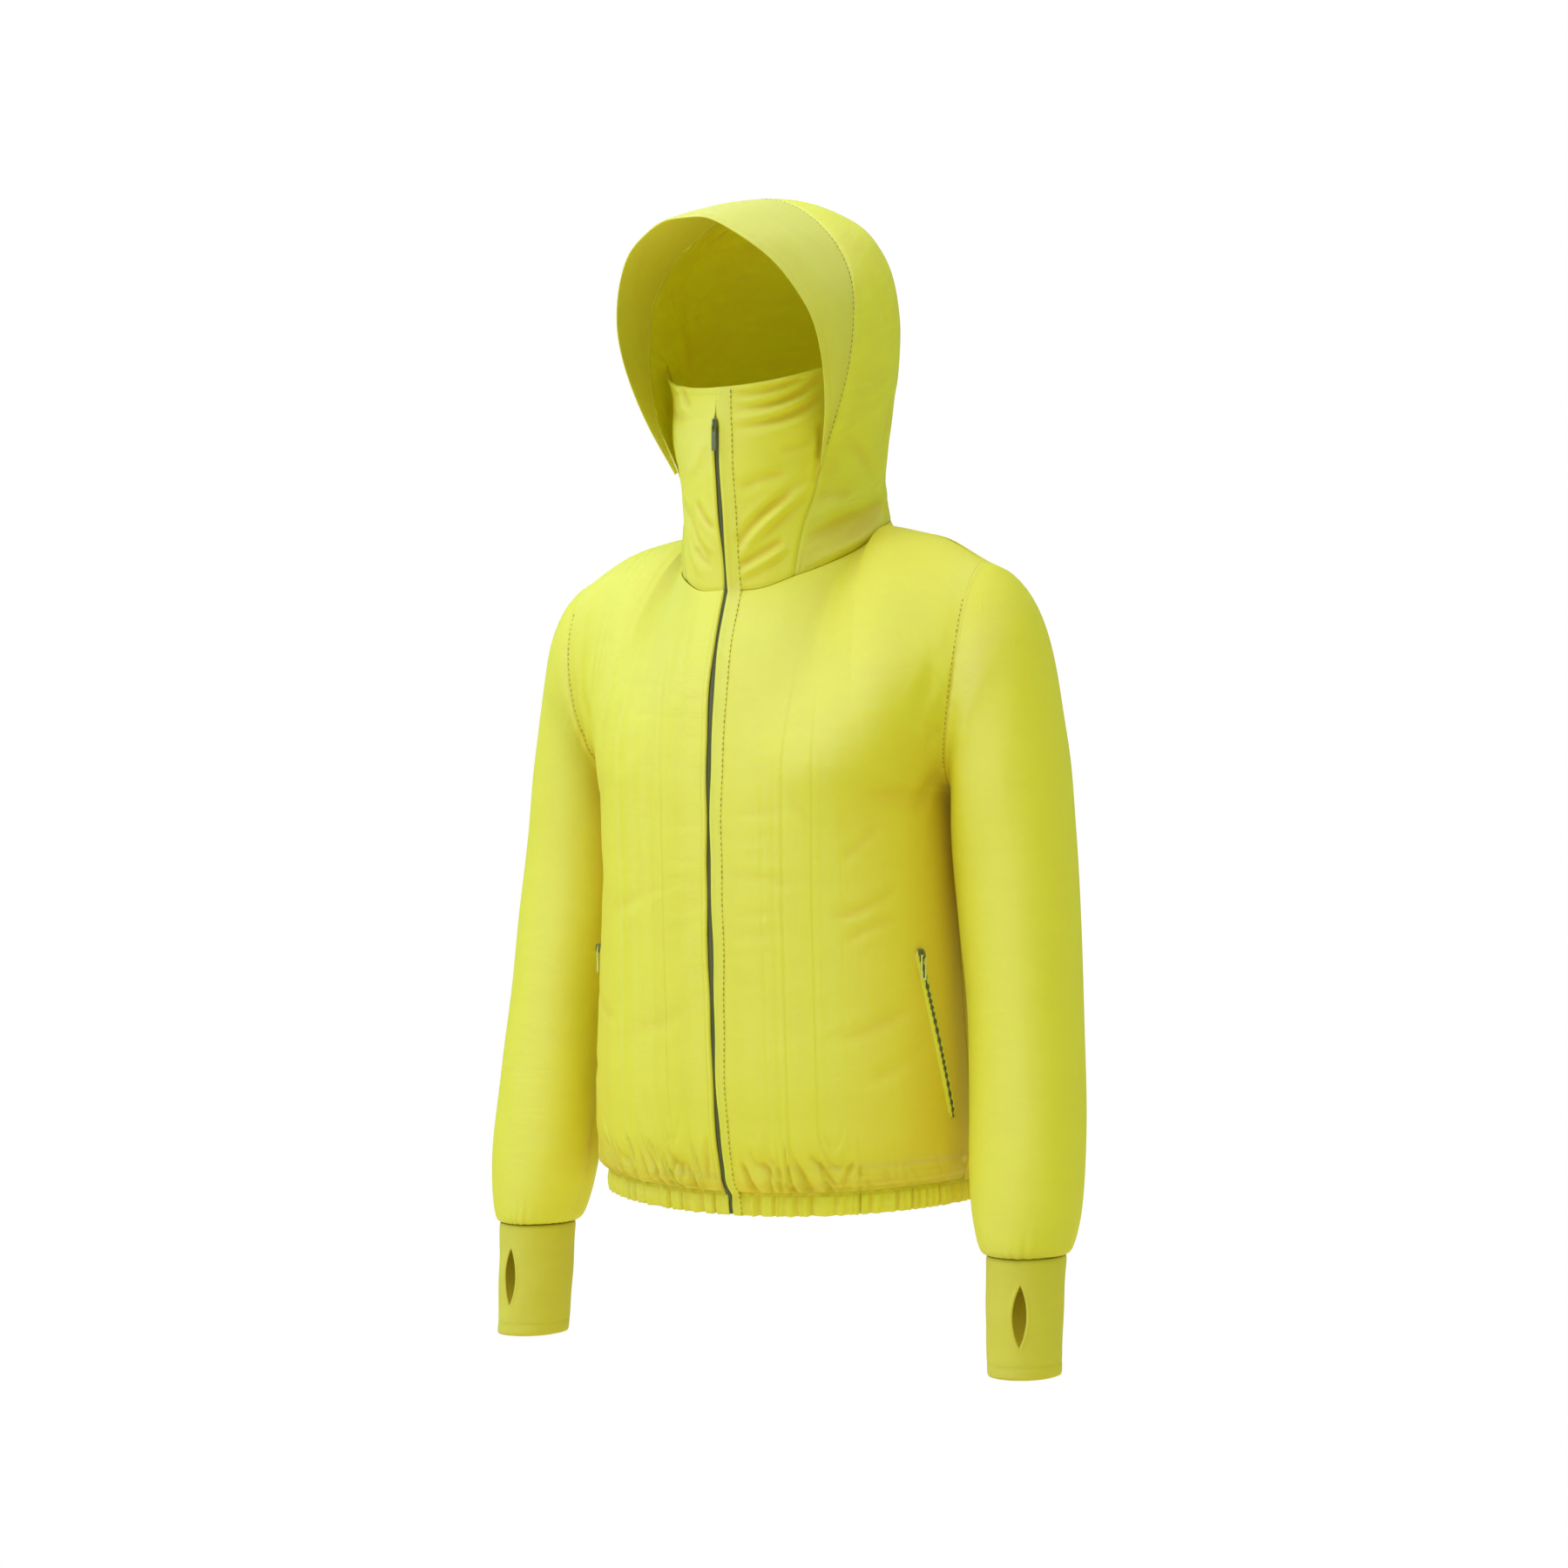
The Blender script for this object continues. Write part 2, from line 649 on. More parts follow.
def bodyRow(height, shares, back=False):
    sections = bodyCut["sections"]
    value = tableAt(sections, height, sections["height"])
    depth = value["backDepth"] if back else -value["frontDepth"]
    power = 2 / value["squareness"]
    turn = np.linspace(0, math.pi / 2, 181)
    x = value["halfWidth"] * np.sin(turn) ** power
    y = depth * np.cos(turn) ** power
    start = 0.0 if back else bodyCut["zipGap"]
    keep = x >= start
    line = np.stack([x[keep], y[keep], np.zeros(keep.sum())], axis=-1)
    line[0, 0] = start
    row = spread(line, shares)
    fade = stepUp((bodyCut["liftTop"] - height) / (bodyCut["liftTop"] - bodyCut["hemSeam"]))
    row[:, 2] = height + bodyCut["sideLift"] * fade * (row[:, 0] / value["halfWidth"]) ** 2
    return row


def aboveBand(grid):  # the height above the hem band's seam
    sideways = (grid[..., 0] / bodyCut["seamHalfWidth"]) ** 2
    return grid[..., 2] - bodyCut["hemSeam"] - bodyCut["sideLift"] * sideways


def neckLine(shares, back=False):  # the left half of the neck seam
    return along(pointsOf(bodyCut["backNeck" if back else "frontNeck"]), shares)


def yokeRows(shares, t, back=False):  # from the underarm's level up to the neck and shoulder seams
    low = bodyRow(bodyCut["underarm"], shares, back)
    leave = unit(low - bodyRow(bodyCut["underarm"] - 20 * mm, shares, back))
    shoulder = along(pointsOf(bodyCut["shoulder"]), np.clip(2 * shares - 1, 0, 1))
    top = np.where((shares < 0.5)[:, None], neckLine(np.clip(2 * shares, 0, 1), back), shoulder)
    reach = np.linalg.norm(top - low, axis=1, keepdims=True)
    roll = stepUp(shares, 0.15, 0.5)[:, None]
    forward = -1 if back else 1
    arrive = (1 - roll) * np.array([0, 0.52 * forward, 0.85]) + roll * np.array([0, forward, 0.05])
    grid = hermite(t[:, None, None], low, leave * reach, top, arrive * reach * 1.05)
    turn = math.pi * (1 - t)
    side = sleevePoints(np.zeros(len(t)), turn if back else -turn) - grid[:, -1]
    grid += side[:, None] * (shares**3)[None, :, None]
    if not back:
        front = bodyCut["frontLine"]
        line = np.stack([np.full_like(front["y"], low[0, 0]), front["y"], front["z"]], axis=-1)
        edge = along(line, t) - grid[:, 0]
        grid += edge[:, None] * ((1 - shares) ** 3)[None, :, None]
    return grid


def gatherPhase(roundShare):  # by the share of the way round the half hem, from the zip to the centre back
    drift = 0.010 * np.sin(19 * roundShare) + 0.006 * np.sin(47 * roundShare + 1)
    drift += 0.003 * np.sin(113 * roundShare + 2)
    return math.pi * bodyCut["gathers"] * (roundShare + drift)


def gatherSizes(phase, seed, low, high):  # one size for each gather, smooth between them
    index = np.arange(-3, bodyCut["gathers"] + 3)
    sizes = 0.5 + 0.5 * np.sin(index * 12.9898 + seed) * np.cos(index * 4.17 + 2 * seed)
    return np.interp(phase / (2 * math.pi), index, low + (high - low) * sizes)


def puff(phase):  # round crests with sharp valleys between them
    return 1.7 * np.abs(np.cos(phase / 2)) ** 0.75 - 1.15


def bodyPuckers(grid, shares, back, calm, way=0.4):  # way is how far they lean as they rise
    rise = np.maximum(aboveBand(grid), 0)
    roundShare = (1 - shares * 0.5 if back else shares * 0.5)[None, :]
    lean = way + 0.6 * np.sin(roundShare * 37 + 1) + 0.4 * np.sin(roundShare * 91 + 2)
    phase = gatherPhase(roundShare + 0.8 * rise * lean)
    reach = gatherSizes(phase, 1.3, *bodyCut["puckerReach"])
    size = gatherSizes(phase, 4.1, *bodyCut["puckerSize"])
    start = 0.5 + 0.5 * stepUp(rise / (8 * mm))
    fade = np.exp(-((rise / reach) ** 1.5))
    edges = stepUp((1 - shares) / 0.05)
    if not back:
        edges = edges * stepUp(np.abs(grid[0, :, 0]), 15 * mm, 14 * mm)
    return bodyCut["puckerDepth"] * size * puff(phase) * start * fade * edges * calm


def blouse(grid, depth):  # the body hangs over the band a little, and less so towards the side seams
    inner = stepUp(fromEdge(grid, "right") / (34 * mm))
    return depth * inner * hump(fromEdge(grid, "bottom"), 12 * mm, 10.5 * mm)


bodyShares = stops(*bodyCut["columnStops"])
sideHeight = bodyCut["underarm"] - bodyCut["hemSeam"]
bodyHeights = bodyCut["hemSeam"] + sideHeight * stops(*bodyCut["rowStops"], end=False)
yokeStops = stops(*bodyCut["yokeStops"], start=False)


def blendShare(turn):  # the sleeve's top runs into the shoulder without a step, its underside doesn't
    return 1 - stepUp((np.abs(turn) - math.radians(55)) / math.radians(50))


def blendReach(distance):
    return np.maximum(distance, 0) * np.maximum(1 - distance / (48 * mm), 0) ** 2


def armholeKink(grid, back):  # half the difference between the ways that body and sleeve leave the seam
    turn = math.pi * (1 - yokeStops) * (1 if back else -1)
    seam = sleevePoints(np.zeros(len(turn)), turn)
    sleeveWay = unit(sleevePoints(np.full(len(turn), 0.25), turn) - seam)
    bodyWay = unit(grid[:, -1] - grid[:, -4])
    return turn, (sleeveWay - bodyWay) / 2 * blendShare(turn)[:, None]


def settle(grid):  # the cloth lies lower beside the neck, and a little higher over the sleeve's seam
    x, y, z = np.abs(grid[..., 0]), grid[..., 1], grid[..., 2]
    (down, downAt, downWidth), (up, upAt, upWidth) = bodyCut["neckDrop"], bodyCut["seamRise"]
    drop = down * hump(x, downAt, downWidth) - up * hump(x, upAt, upWidth)
    drop = drop * stepUp(z, -80 * mm, 40 * mm) * (1 - stepUp(y, 18 * mm, 32 * mm))  # not low down or behind
    return grid - drop[..., None] * np.array([0, 0, 1])


def bodyHalf(back=False):
    low = np.stack([bodyRow(height, bodyShares, back) for height in bodyHeights])
    yoke = yokeRows(bodyShares, yokeStops, back)
    kink = soften(armholeKink(yoke, back)[1], 6)
    yoke = yoke - kink[:, None] * blendReach(fromEdge(yoke, "right"))[..., None]
    return settle(np.concatenate([low, yoke[1:]]))


def planOf(grid):  # where each point lies on the cloth, from its lower left corner
    return np.stack([acrossOf(grid), upOf(grid)], axis=-1)


frontFolds = {
    "left": foldTable(
        (214, 478, 72, 352, 6, 36, 5.5, 0.0),
        (219, 477, 188, 416, 4, 7, -1.7, 0.3),
        (229, 450, 200, 390, 4, 6, -1.5, 0.3),
        (236, 405, 190, 322, 6, 8, -1.8, 0.2),
        (170, 264, 106, 243, 5, 5, -0.9, 0.3),
        (168, 235, 116, 219, -4, 4.5, -0.8, 0.3),
        (150, 318, 108, 288, 4, 5, -0.5, 0.2),
        (180, 163, 104, 138, 5, 7, -0.7, 0.3),
        (193, 124, 126, 100, 4, 7, -0.7, 0.3),
        (22, 331, 72, 335, 2, 4.0, -0.5, 0.3),
        (22, 312, 60, 317, -2, 3.4, -0.35, 0.3),
        (20, 280, 76, 273, 2, 4.4, -0.55, -0.3),
        (20, 248, 58, 246, -1, 3.6, -0.45, 0.3),
        (18, 224, 70, 230, 2, 4.4, -0.45, 0.3),
        (18, 190, 52, 187, 1, 3.8, -0.4, 0.3),
        (228, 20, 240, 6, 1, 3, -1.8, 0.0),
        (17, 31, 27, 3, 1, 2.2, -2.4, 0.2),
        (36, 32, 52, 5, 2, 2.4, -2.6, 0.2),
        (47, 38, 63, 4, -2, 2.2, -2.2, -0.2),
        (70, 24, 78, 4, 1, 2.2, -1.6, 0.0),
        (80, 40, 101, 5, 2, 2.4, -2.8, 0.2),
        (90, 33, 96, 12, 1, 1.8, -1.4, 0.0),
        (103, 2, 120, 31, 2, 2.2, -2.2, 0.2),
        (122, 26, 131, 4, -1, 2.2, -1.4, 0.0),
        (142, 22, 148, 3, 1, 2.2, -1.1, 0.0),
    ),
    "right": foldTable(
        (246, 372, 150, 262, 10, 13, -1.5, 0.2),
        (222, 468, 176, 398, 5, 8, -1.3, 0.2),
        (236, 430, 198, 352, 5, 7, -1.4, 0.2),
        (132, 246, 44, 286, 8, 8, -0.6, 0.2),
        (122, 352, 66, 400, -6, 8, -0.6, 0.2),
        (100, 139, 22, 172, 5, 8, -0.6, 0.2),
        (6, 327, 50, 320, 2, 3.8, -0.4, 0.3),
        (10, 277, 72, 259, 3, 4.4, -0.45, 0.3),
        (8, 232, 46, 236, -2, 3.8, -0.4, 0.3),
        (186, 176, 112, 150, 5, 6, -0.9, 0.3),
        (212, 112, 148, 92, 4, 6, -0.9, 0.3),
        (8, 54, 13, 10, 1, 2.4, -1.8, 0.0),
        (40, 28, 41, 4, -1, 2.2, -2.2, 0.2),
        (45, 32, 52, 6, 1, 2.2, -2.0, -0.2),
        (75, 46, 65, 22, -2, 2.4, -2.6, 0.2),
        (66, 20, 72, 3, 1, 2.2, -2.0, 0.0),
        (104, 46, 96, 20, -2, 2.4, -2.6, 0.2),
        (92, 20, 98, 3, 1, 2.2, -1.8, 0.0),
        (122, 34, 116, 6, -2, 2.2, -2.2, 0.2),
        (24, 24, 27, 4, 1, 2.2, -1.6, 0.0),
    ),
}


def seamShown(up):  # the armhole's seam fades out towards the shoulder
    return 1 - 0.9 * stepUp(up, 460 * mm, 55 * mm)


frontCut = {
    "flat": (0.305, 0.645),
    "area": 0.143,
    "seed": {"left": 0.7, "right": 2.9},
    "puckerWay": {"left": 0.8, "right": -0.8},  # how far the gathers lean as they rise
    "hang": 3.8 * mm,  # how far the cloth stands out over the band
    "armholeTucks": (8 * mm, 2.4 * mm, 15 * mm),  # tucks: their spacing, depth and reach
    "neckTucks": (10 * mm, 0.5 * mm, 9 * mm),
    "sideTucks": (14 * mm, 0.6 * mm, 10 * mm),
    "zipTucks": (17 * mm, 0.5 * mm, 30 * mm),
}


def armholeShown(up):  # none of its tucks on the side seam below it
    return stepUp(up, 330 * mm, 40 * mm)


def frontGrid(side):
    grid = bodyHalf()
    seed = frontCut["seed"][side]
    up = upOf(grid)
    calm = 1 - 0.85 * stepUp(grid[..., 0], 88 * mm, 45 * mm) if side == "left" else 1.0
    hang = blouse(grid, frontCut["hang"])
    lift = bodyPuckers(grid, bodyShares, False, calm, frontCut["puckerWay"][side]) + hang
    lift += creases(grid, planOf(grid), frontFolds[side])
    lift += ripple(grid, 13 * mm, 0.45 * mm, seed, slant=0.5)
    lift *= stepUp(up / bodyCut["seamCalm"])
    lift -= (lift - hang) * hump(fromEdge(grid, "right") / (3 * mm)) * stepUp(up / (12 * mm))
    high = armholeShown(up)
    lift += high * seamShown(up) * pinches(grid, "right", *frontCut["armholeTucks"], seed)
    lift += pinches(grid, "top", *frontCut["neckTucks"], seed + 1)
    lift += pinches(grid, "right", *frontCut["sideTucks"], seed + 2) * (1 - high)
    lift += pinches(grid, "left", *frontCut["zipTucks"], seed + 3) * stepUp((520 * mm - up) / (60 * mm))
    lift += seamDip(grid, "right", seamDepths["flat"], 2.2 * mm) * seamShown(up)
    lift += seamDip(grid, "top", seamDepths["flat"]) + seamDip(grid, "bottom", seamDepths["gathered"])
    lift += edgeRoll("zip", fromEdge(grid, "left"))
    return sided(sway(raised(grid, lift)), side)


pocketCut = {
    "shares": (0.878, 0.748),  # of the way from the zip to the side, at the bottom and the top
    "heights": (-531 * mm, -380 * mm),
    "lip": table(
        "offset lift",
        (6.2, -0.7),
        (5.3, 0.1),
        (4.5, 0.7),
        (3.7, 1.3),
        (2.8, 1.7),
        (2.1, 1.6),
        (1.8, 0.9),
    ),
}


def pocketLine(grid):  # on the left front, from the bottom up: its places and the ways out of the cloth
    t = np.linspace(0, 1, 150)
    row = np.interp(np.interp(t, (0, 1), pocketCut["heights"]), bodyHeights, np.arange(len(bodyHeights)))
    column = np.interp(np.interp(t, (0, 1), pocketCut["shares"]), bodyShares, np.arange(len(bodyShares)))
    return soften(between(grid, row, column), 12), unit(soften(between(gridNormals(grid), row, column), 40))


def pocketLips(grid):
    line, out = pocketLine(grid)
    line, out = spread(line, np.linspace(0, 1, 240)), unit(spread(out, np.linspace(0, 1, 240)))
    run = lengthsAlong(line)
    ends = stepUp(run / (7 * mm)) * stepUp((run[-1] - run) / (7 * mm))
    lip = pocketCut["lip"]
    grip = 0.85 * mm * np.sin(run / (1.1 * mm) + 1.7 * np.sin(run / (8 * mm)))  # how the lips meet and part
    inner = np.linspace(0, 1, len(lip["offset"])) ** 2
    offsets = lip["offset"] * (0.55 + 0.45 * ends[:, None]) + (grip * ends - 0.2 * mm)[:, None] * inner
    lifts = lip["lift"] * (0.3 + 0.7 * ends[:, None])
    return [ribbon(line, out, -offsets, lifts), ribbon(line, out, offsets[:, ::-1], lifts[:, ::-1])]


def bodyShade(grid):  # deeper colour in the shelter of the sleeves and over the band
    rise = aboveBand(grid)
    x = np.abs(grid[..., 0])
    low = 1 - stepUp(grid[..., 2], -260 * mm, 90 * mm)
    patchy = 0.75 + 0.25 * np.sin(x / (4.1 * mm) + 2 * np.sin(x / (13 * mm)))
    band = 0.9 * hump(rise / (11 * mm)) * patchy + 0.3 * hump(rise / (34 * mm))
    side = 0.45 * stepUp(x, 100 * mm, 45 * mm) + 0.6 * stepUp(x, 146 * mm, 20 * mm)
    return band + side * low


def seamShade(distance, up):  # deeper colour in the armhole's seam
    return 0.7 * hump(distance / (3 * mm)) * seamShown(up + 30 * mm)


def addFronts():
    for side in ("left", "right"):
        grid = frontGrid(side)
        lips = [sided(lip, side) for lip in pocketLips(sided(grid, side))]
        shade = bodyShade(grid) + seamShade(fromEdge(grid, otherSide[side]), upOf(grid))
        sewnTo = ["back", "sleeve_" + side, "hem_band", "front_zip"]
        addCloth("front_" + side, grid, frontCut, sewnTo, lips=lips, shade=shade)


backCut = {
    "flat": (0.515, 0.635),
    "area": 0.285,
    "roundPasses": 90,  # of softening, which takes out a ridge that runs down from the neck's corner
    "gathered": 0.9,  # the gathers' depth against the fronts'
    "hang": 2.4 * mm,
    "armholeTucks": (10 * mm, 1.3 * mm, 14 * mm),
    "neckTucks": (11 * mm, 0.6 * mm, 9 * mm),
}


def addBack():
    half = bodyHalf(back=True)
    rounded = soften(half, backCut["roundPasses"], axis=1)
    half += (rounded - half) * stepUp(fromEdge(half, "top") / (40 * mm))[..., None]
    up = upOf(half)
    lift = bodyPuckers(half, bodyShares, True, backCut["gathered"]) + blouse(half, backCut["hang"])
    lift *= stepUp(up / bodyCut["seamCalm"])
    lift += armholeShown(up) * seamShown(up) * pinches(half, "right", *backCut["armholeTucks"], 4.4)
    lift += pinches(half, "top", *backCut["neckTucks"], 1.9)
    lift += seamDip(half, "right", seamDepths["flat"], 2.2 * mm) * seamShown(up)
    lift += seamDip(half, "top", seamDepths["flat"]) + seamDip(half, "bottom", seamDepths["gathered"])
    half = raised(half, lift)
    grid = np.concatenate([half[:, ::-1], (half * flip)[:, 1:]], axis=1)
    waves = ripple(grid, 15 * mm, 0.5 * mm, 5.2, slant=0.3)
    grid = raised(grid, waves * stepUp(fromEdge(grid, "bottom") / bodyCut["seamCalm"]))
    grid = raised(grid, creases(grid, planOf(grid), backFolds))
    sewnTo = ["front_left", "front_right", "hem_band", "hood_left", "hood_right"]
    addCloth("back", grid, backCut, sewnTo, shade=bodyShade(grid))


backFolds = foldTable(
    (20, 352, 168, 262, -14, 12, -1.7, 0.2),
    (34, 440, 84, 372, -5, 8, -1.4, 0.2),
    (48, 486, 100, 430, -4, 7, -1.1, 0.2),
    (512, 360, 372, 246, 13, 12, -1.6, -0.2),
    (494, 448, 446, 366, 5, 8, -1.3, -0.2),
    (150, 548, 262, 520, -8, 14, -1.3, 0.1),
    (388, 552, 286, 512, 7, 12, -1.2, 0.1),
    (96, 236, 210, 196, 6, 9, -1.0, 0.2),
    (450, 214, 330, 178, -6, 9, -1.0, -0.2),
    (262, 300, 222, 402, 7, 18, 1.7, 0.1),
    (120, 120, 214, 92, 5, 7, -0.9, 0.2),
    (430, 126, 352, 86, -4, 7, -0.9, 0.2),
)


bandCut = {
    "flat": (1.13, 0.020),
    "height": 19 * mm,
    "middle": 9 * mm,
    "rowStops": (19 * mm, 1.7 * mm, 0.6 * mm, 2 * mm),
    "depth": 2.1 * mm,  # of the gathers
    "flare": 3 * mm,  # its lower edge stands out a little, so that it faces forwards
}


def thereAndBack(values):  # the left half's values, then the right half's
    return np.concatenate([values, values[::-1][1:]])


def addHemBand():
    shares = np.linspace(0, 1, bodyCut["gathers"] // 4 * 9 + 1)
    t = stops(*bandCut["rowStops"])
    rows = []
    for height in bodyCut["hemBottom"] + t * (bodyCut["hemSeam"] - bodyCut["hemBottom"]):
        left = np.concatenate([bodyRow(height, shares), bodyRow(height, shares, True)[::-1][1:]])
        rows.append(np.concatenate([left, (left * flip)[::-1][1:]]))
    grid = np.stack(rows)
    half = np.concatenate([shares * 0.5, 1 - shares[::-1][1:] * 0.5])
    roundShare = thereAndBack(half)[None, :]
    turnOver = np.sign(np.arange(grid.shape[1]) - grid.shape[1] / 2)[None, :]
    rise = (t * bandCut["height"])[:, None]
    phase = gatherPhase(roundShare + 0.05 * (rise - bandCut["middle"]) * np.sin(roundShare * 61 + turnOver))
    size = gatherSizes(phase, 4.1, 0.3, 1.15)
    extra = 0.6 * np.sin(1.7 * phase + 2 * turnOver) * gatherSizes(phase, 7.7, 0.2, 1.0)
    away = thereAndBack(stepUp(half * 0.55, 4 * mm, 14 * mm))[None, :]  # none beside the zip
    calm = stepUp((rise[-1] - rise) / bodyCut["seamCalm"])
    lift = bandCut["depth"] * (size * puff(phase) + extra) * away * calm
    lift += edgeRoll("band", rise) + bandCut["flare"] * (1 - t[:, None]) ** 1.5
    lift += seamDip(grid, "top", seamDepths["gathered"], 1.6 * mm)
    grid = sway(raised(grid, lift))
    addCloth("hem_band", grid, bandCut, ["front_left", "front_right", "back"], thickness=1.0 * mm)


# Sleeves and cuffs


sleeveCut = {
    "sections": table(
        "outerX outerZ innerX innerZ middleY frontHalf backHalf bow squareness",
        (196, -44, 166, -243, 3, 70, 75, 12, 2.1),
        (213, -51, 168, -247, 4, 70, 74, 9, 2.0),
        (227, -66, 169, -251, 5, 70, 73, 5, 2.0),
        (239, -90, 169, -257, 6, 69, 71, 2, 2.0),
        (247, -122, 168.5, -268, 8, 68, 69, 0, 2.1),
        (254, -165, 168, -285, 9, 67, 67, 0, 2.2),
        (262, -215, 168.5, -305, 10, 67, 67, 0, 2.2),
        (268, -275, 171, -335, 8, 64, 64, 0, 2.2),
        (275, -345, 178, -380, 3, 61, 61, 0, 2.2),
        (281, -430, 187, -440, -4, 59, 59, 0, 2.2),
        (288, -510, 192, -512, -14, 56, 56, 0, 2.2),
        (291, -565, 195, -566, -22, 53, 53, 0, 2.2),
        (291, -600, 198, -600, -27, 50, 50, 0, 2.1),
        (288, -622, 203, -622, -30, 47, 47, 0, 2.1),
        (285, -634, 207, -634, -32, 44.5, 44.5, 0, 2.0),
        (281, -639.5, 212, -639.5, -34, 41, 41, 0, 2.0),
    ),
    "columns": 132,
    "rowStops": (4.4 * mm, 1.0 * mm, 7 * mm),  # the step, the step at the ends, and how far they reach
    "radius": 60 * mm,
    "underarmUp": 348 * mm,  # where the armhole starts, up the body's side
    "armholeUp": 215 * mm,
    "tuckDepth": 1.5 * mm,
    "pleatDepth": 1.5 * mm,
    "waveSize": 16 * mm,
    "waveDepth": 0.22 * mm,
    "seed": {"left": 1.1, "right": 3.7},  # where each side's waves, tucks and folds fall
    "flat": (0.560, 0.625),
    "area": 0.183,
}


def sleevePoints(place, turn):
    # place counts the left sleeve's sections; turn runs from its outer line round the back, or the front (-)
    place, turn = np.broadcast_arrays(np.asarray(place, float), np.asarray(turn, float))
    value = tableAt(sleeveCut["sections"], place)
    power = 2 / value["squareness"]
    out = np.sign(np.cos(turn)) * np.abs(np.cos(turn)) ** power
    side = np.sign(np.sin(turn)) * np.abs(np.sin(turn)) ** power
    x = (value["outerX"] + value["innerX"]) / 2 + out * (value["outerX"] - value["innerX"]) / 2
    x += value["bow"] * side**2
    y = value["middleY"] + side * np.where(side < 0, value["frontHalf"], value["backHalf"])
    z = (value["outerZ"] + value["innerZ"]) / 2 + out * (value["outerZ"] - value["innerZ"]) / 2
    return np.stack([x, y, z], axis=-1)


# Down is how far below the armhole. The turns count degrees, a thousand times the scale of the plan, so
# each fold comes to lie where the plan ends on its side: along the line that faces the body.
sleeveFolds = {
    "left": table(
        "turn0 down0 turn1 down1 bend width depth lean",
        (-74, 134, -46, 128, 3, 5, -0.9, 0.3),
        (-66, 156, -30, 146, 3, 6, -0.8, 0.3),
        (-82, 187, -60, 179, 2, 4, -0.8, 0.3),
        (-27, 60, -6, 88, 2, 6, -0.7, 0.2),
        (-125, 364, -86, 336, 4, 7, -1.2, 0.3),
        (-116, 438, -90, 411, 3, 5, -1.1, 0.3),
        (-108, 470, -80, 438, 3, 5, -1.1, 0.3),
        (-60, 318, -22, 290, 5, 9, -0.9, 0.2),
        (-140, 210, -104, 262, 5, 9, -1.6, 0.2),
        (-46, 474, -20, 440, 3, 6, -0.9, 0.2),
        (-88, 96, -60, 60, 3, 8, -1.1, 0.2),
        (60, 180, 104, 240, 6, 10, -1.4, 0.2),
        (150, 232, 108, 296, 6, 10, -1.7, 0.2),
        (70, 400, 116, 448, 4, 7, -1.2, 0.3),
        (24, 330, 62, 372, 4, 8, -0.9, 0.3),
    ),
    "right": table(
        "turn0 down0 turn1 down1 bend width depth lean",
        (-107, 176, -152, 228, 4, 7, -2.2, 0.3),
        (-102, 222, -142, 268, 4, 6, -1.6, 0.3),
        (-96, 196, -116, 238, -3, 4, -1.0, 0.3),
        (-92, 300, -134, 338, 4, 6, -1.3, 0.3),
        (-88, 376, -134, 424, 4, 6, -1.3, 0.3),
        (-93, 447, -144, 490, 3, 6, -1.3, 0.3),
        (-60, 250, -92, 300, 4, 9, -0.9, 0.2),
        (-30, 120, -64, 176, 4, 9, -0.9, 0.2),
        (-50, 410, -80, 452, 3, 7, -0.9, 0.2),
        (-136, 70, -98, 118, 4, 8, -1.5, 0.2),
        (58, 196, 100, 258, 6, 10, -1.4, 0.2),
        (148, 250, 106, 312, 6, 10, -1.7, 0.2),
        (66, 416, 112, 460, 4, 7, -1.2, 0.3),
    ),
}


def sleeveForm():  # the grid without folds, each column's turn in degrees, and each row's way down
    places = np.linspace(0, len(sleeveCut["sections"]["bow"]) - 1, 301)
    quarters = (0, 1.57, 3.14, -1.57)  # its length is the mean of the outer, back, inner and front lines
    lines = [sleevePoints(places, np.full_like(places, turn)) for turn in quarters]
    run = np.mean([lengthsAlong(line) for line in lines], axis=0)
    place = stopsAlong(run, places, *sleeveCut["rowStops"])[::-1]
    down = (stops(run[-1], *sleeveCut["rowStops"]) * run[-1])[::-1][:, None]
    turn = 2 * math.pi * np.arange(sleeveCut["columns"]) / sleeveCut["columns"]
    grid = sleevePoints(place[:, None], turn[None, :])
    angle = np.degrees((turn + math.pi) % (2 * math.pi) - math.pi)[None, :]
    near = np.abs(np.radians(angle[0]))
    for back in (False, True):
        turns, kink = armholeKink(yokeRows(bodyShares, yokeStops, back), back)
        order = np.argsort(np.abs(turns))
        mine = (angle[0] > 0) if back else (angle[0] <= 0)
        shift = pointsAt(near, np.abs(turns)[order], soften(kink, 6)[order])
        grid -= (shift * mine[:, None])[None] * blendReach(down)[..., None]
    return settle(grid), angle, down


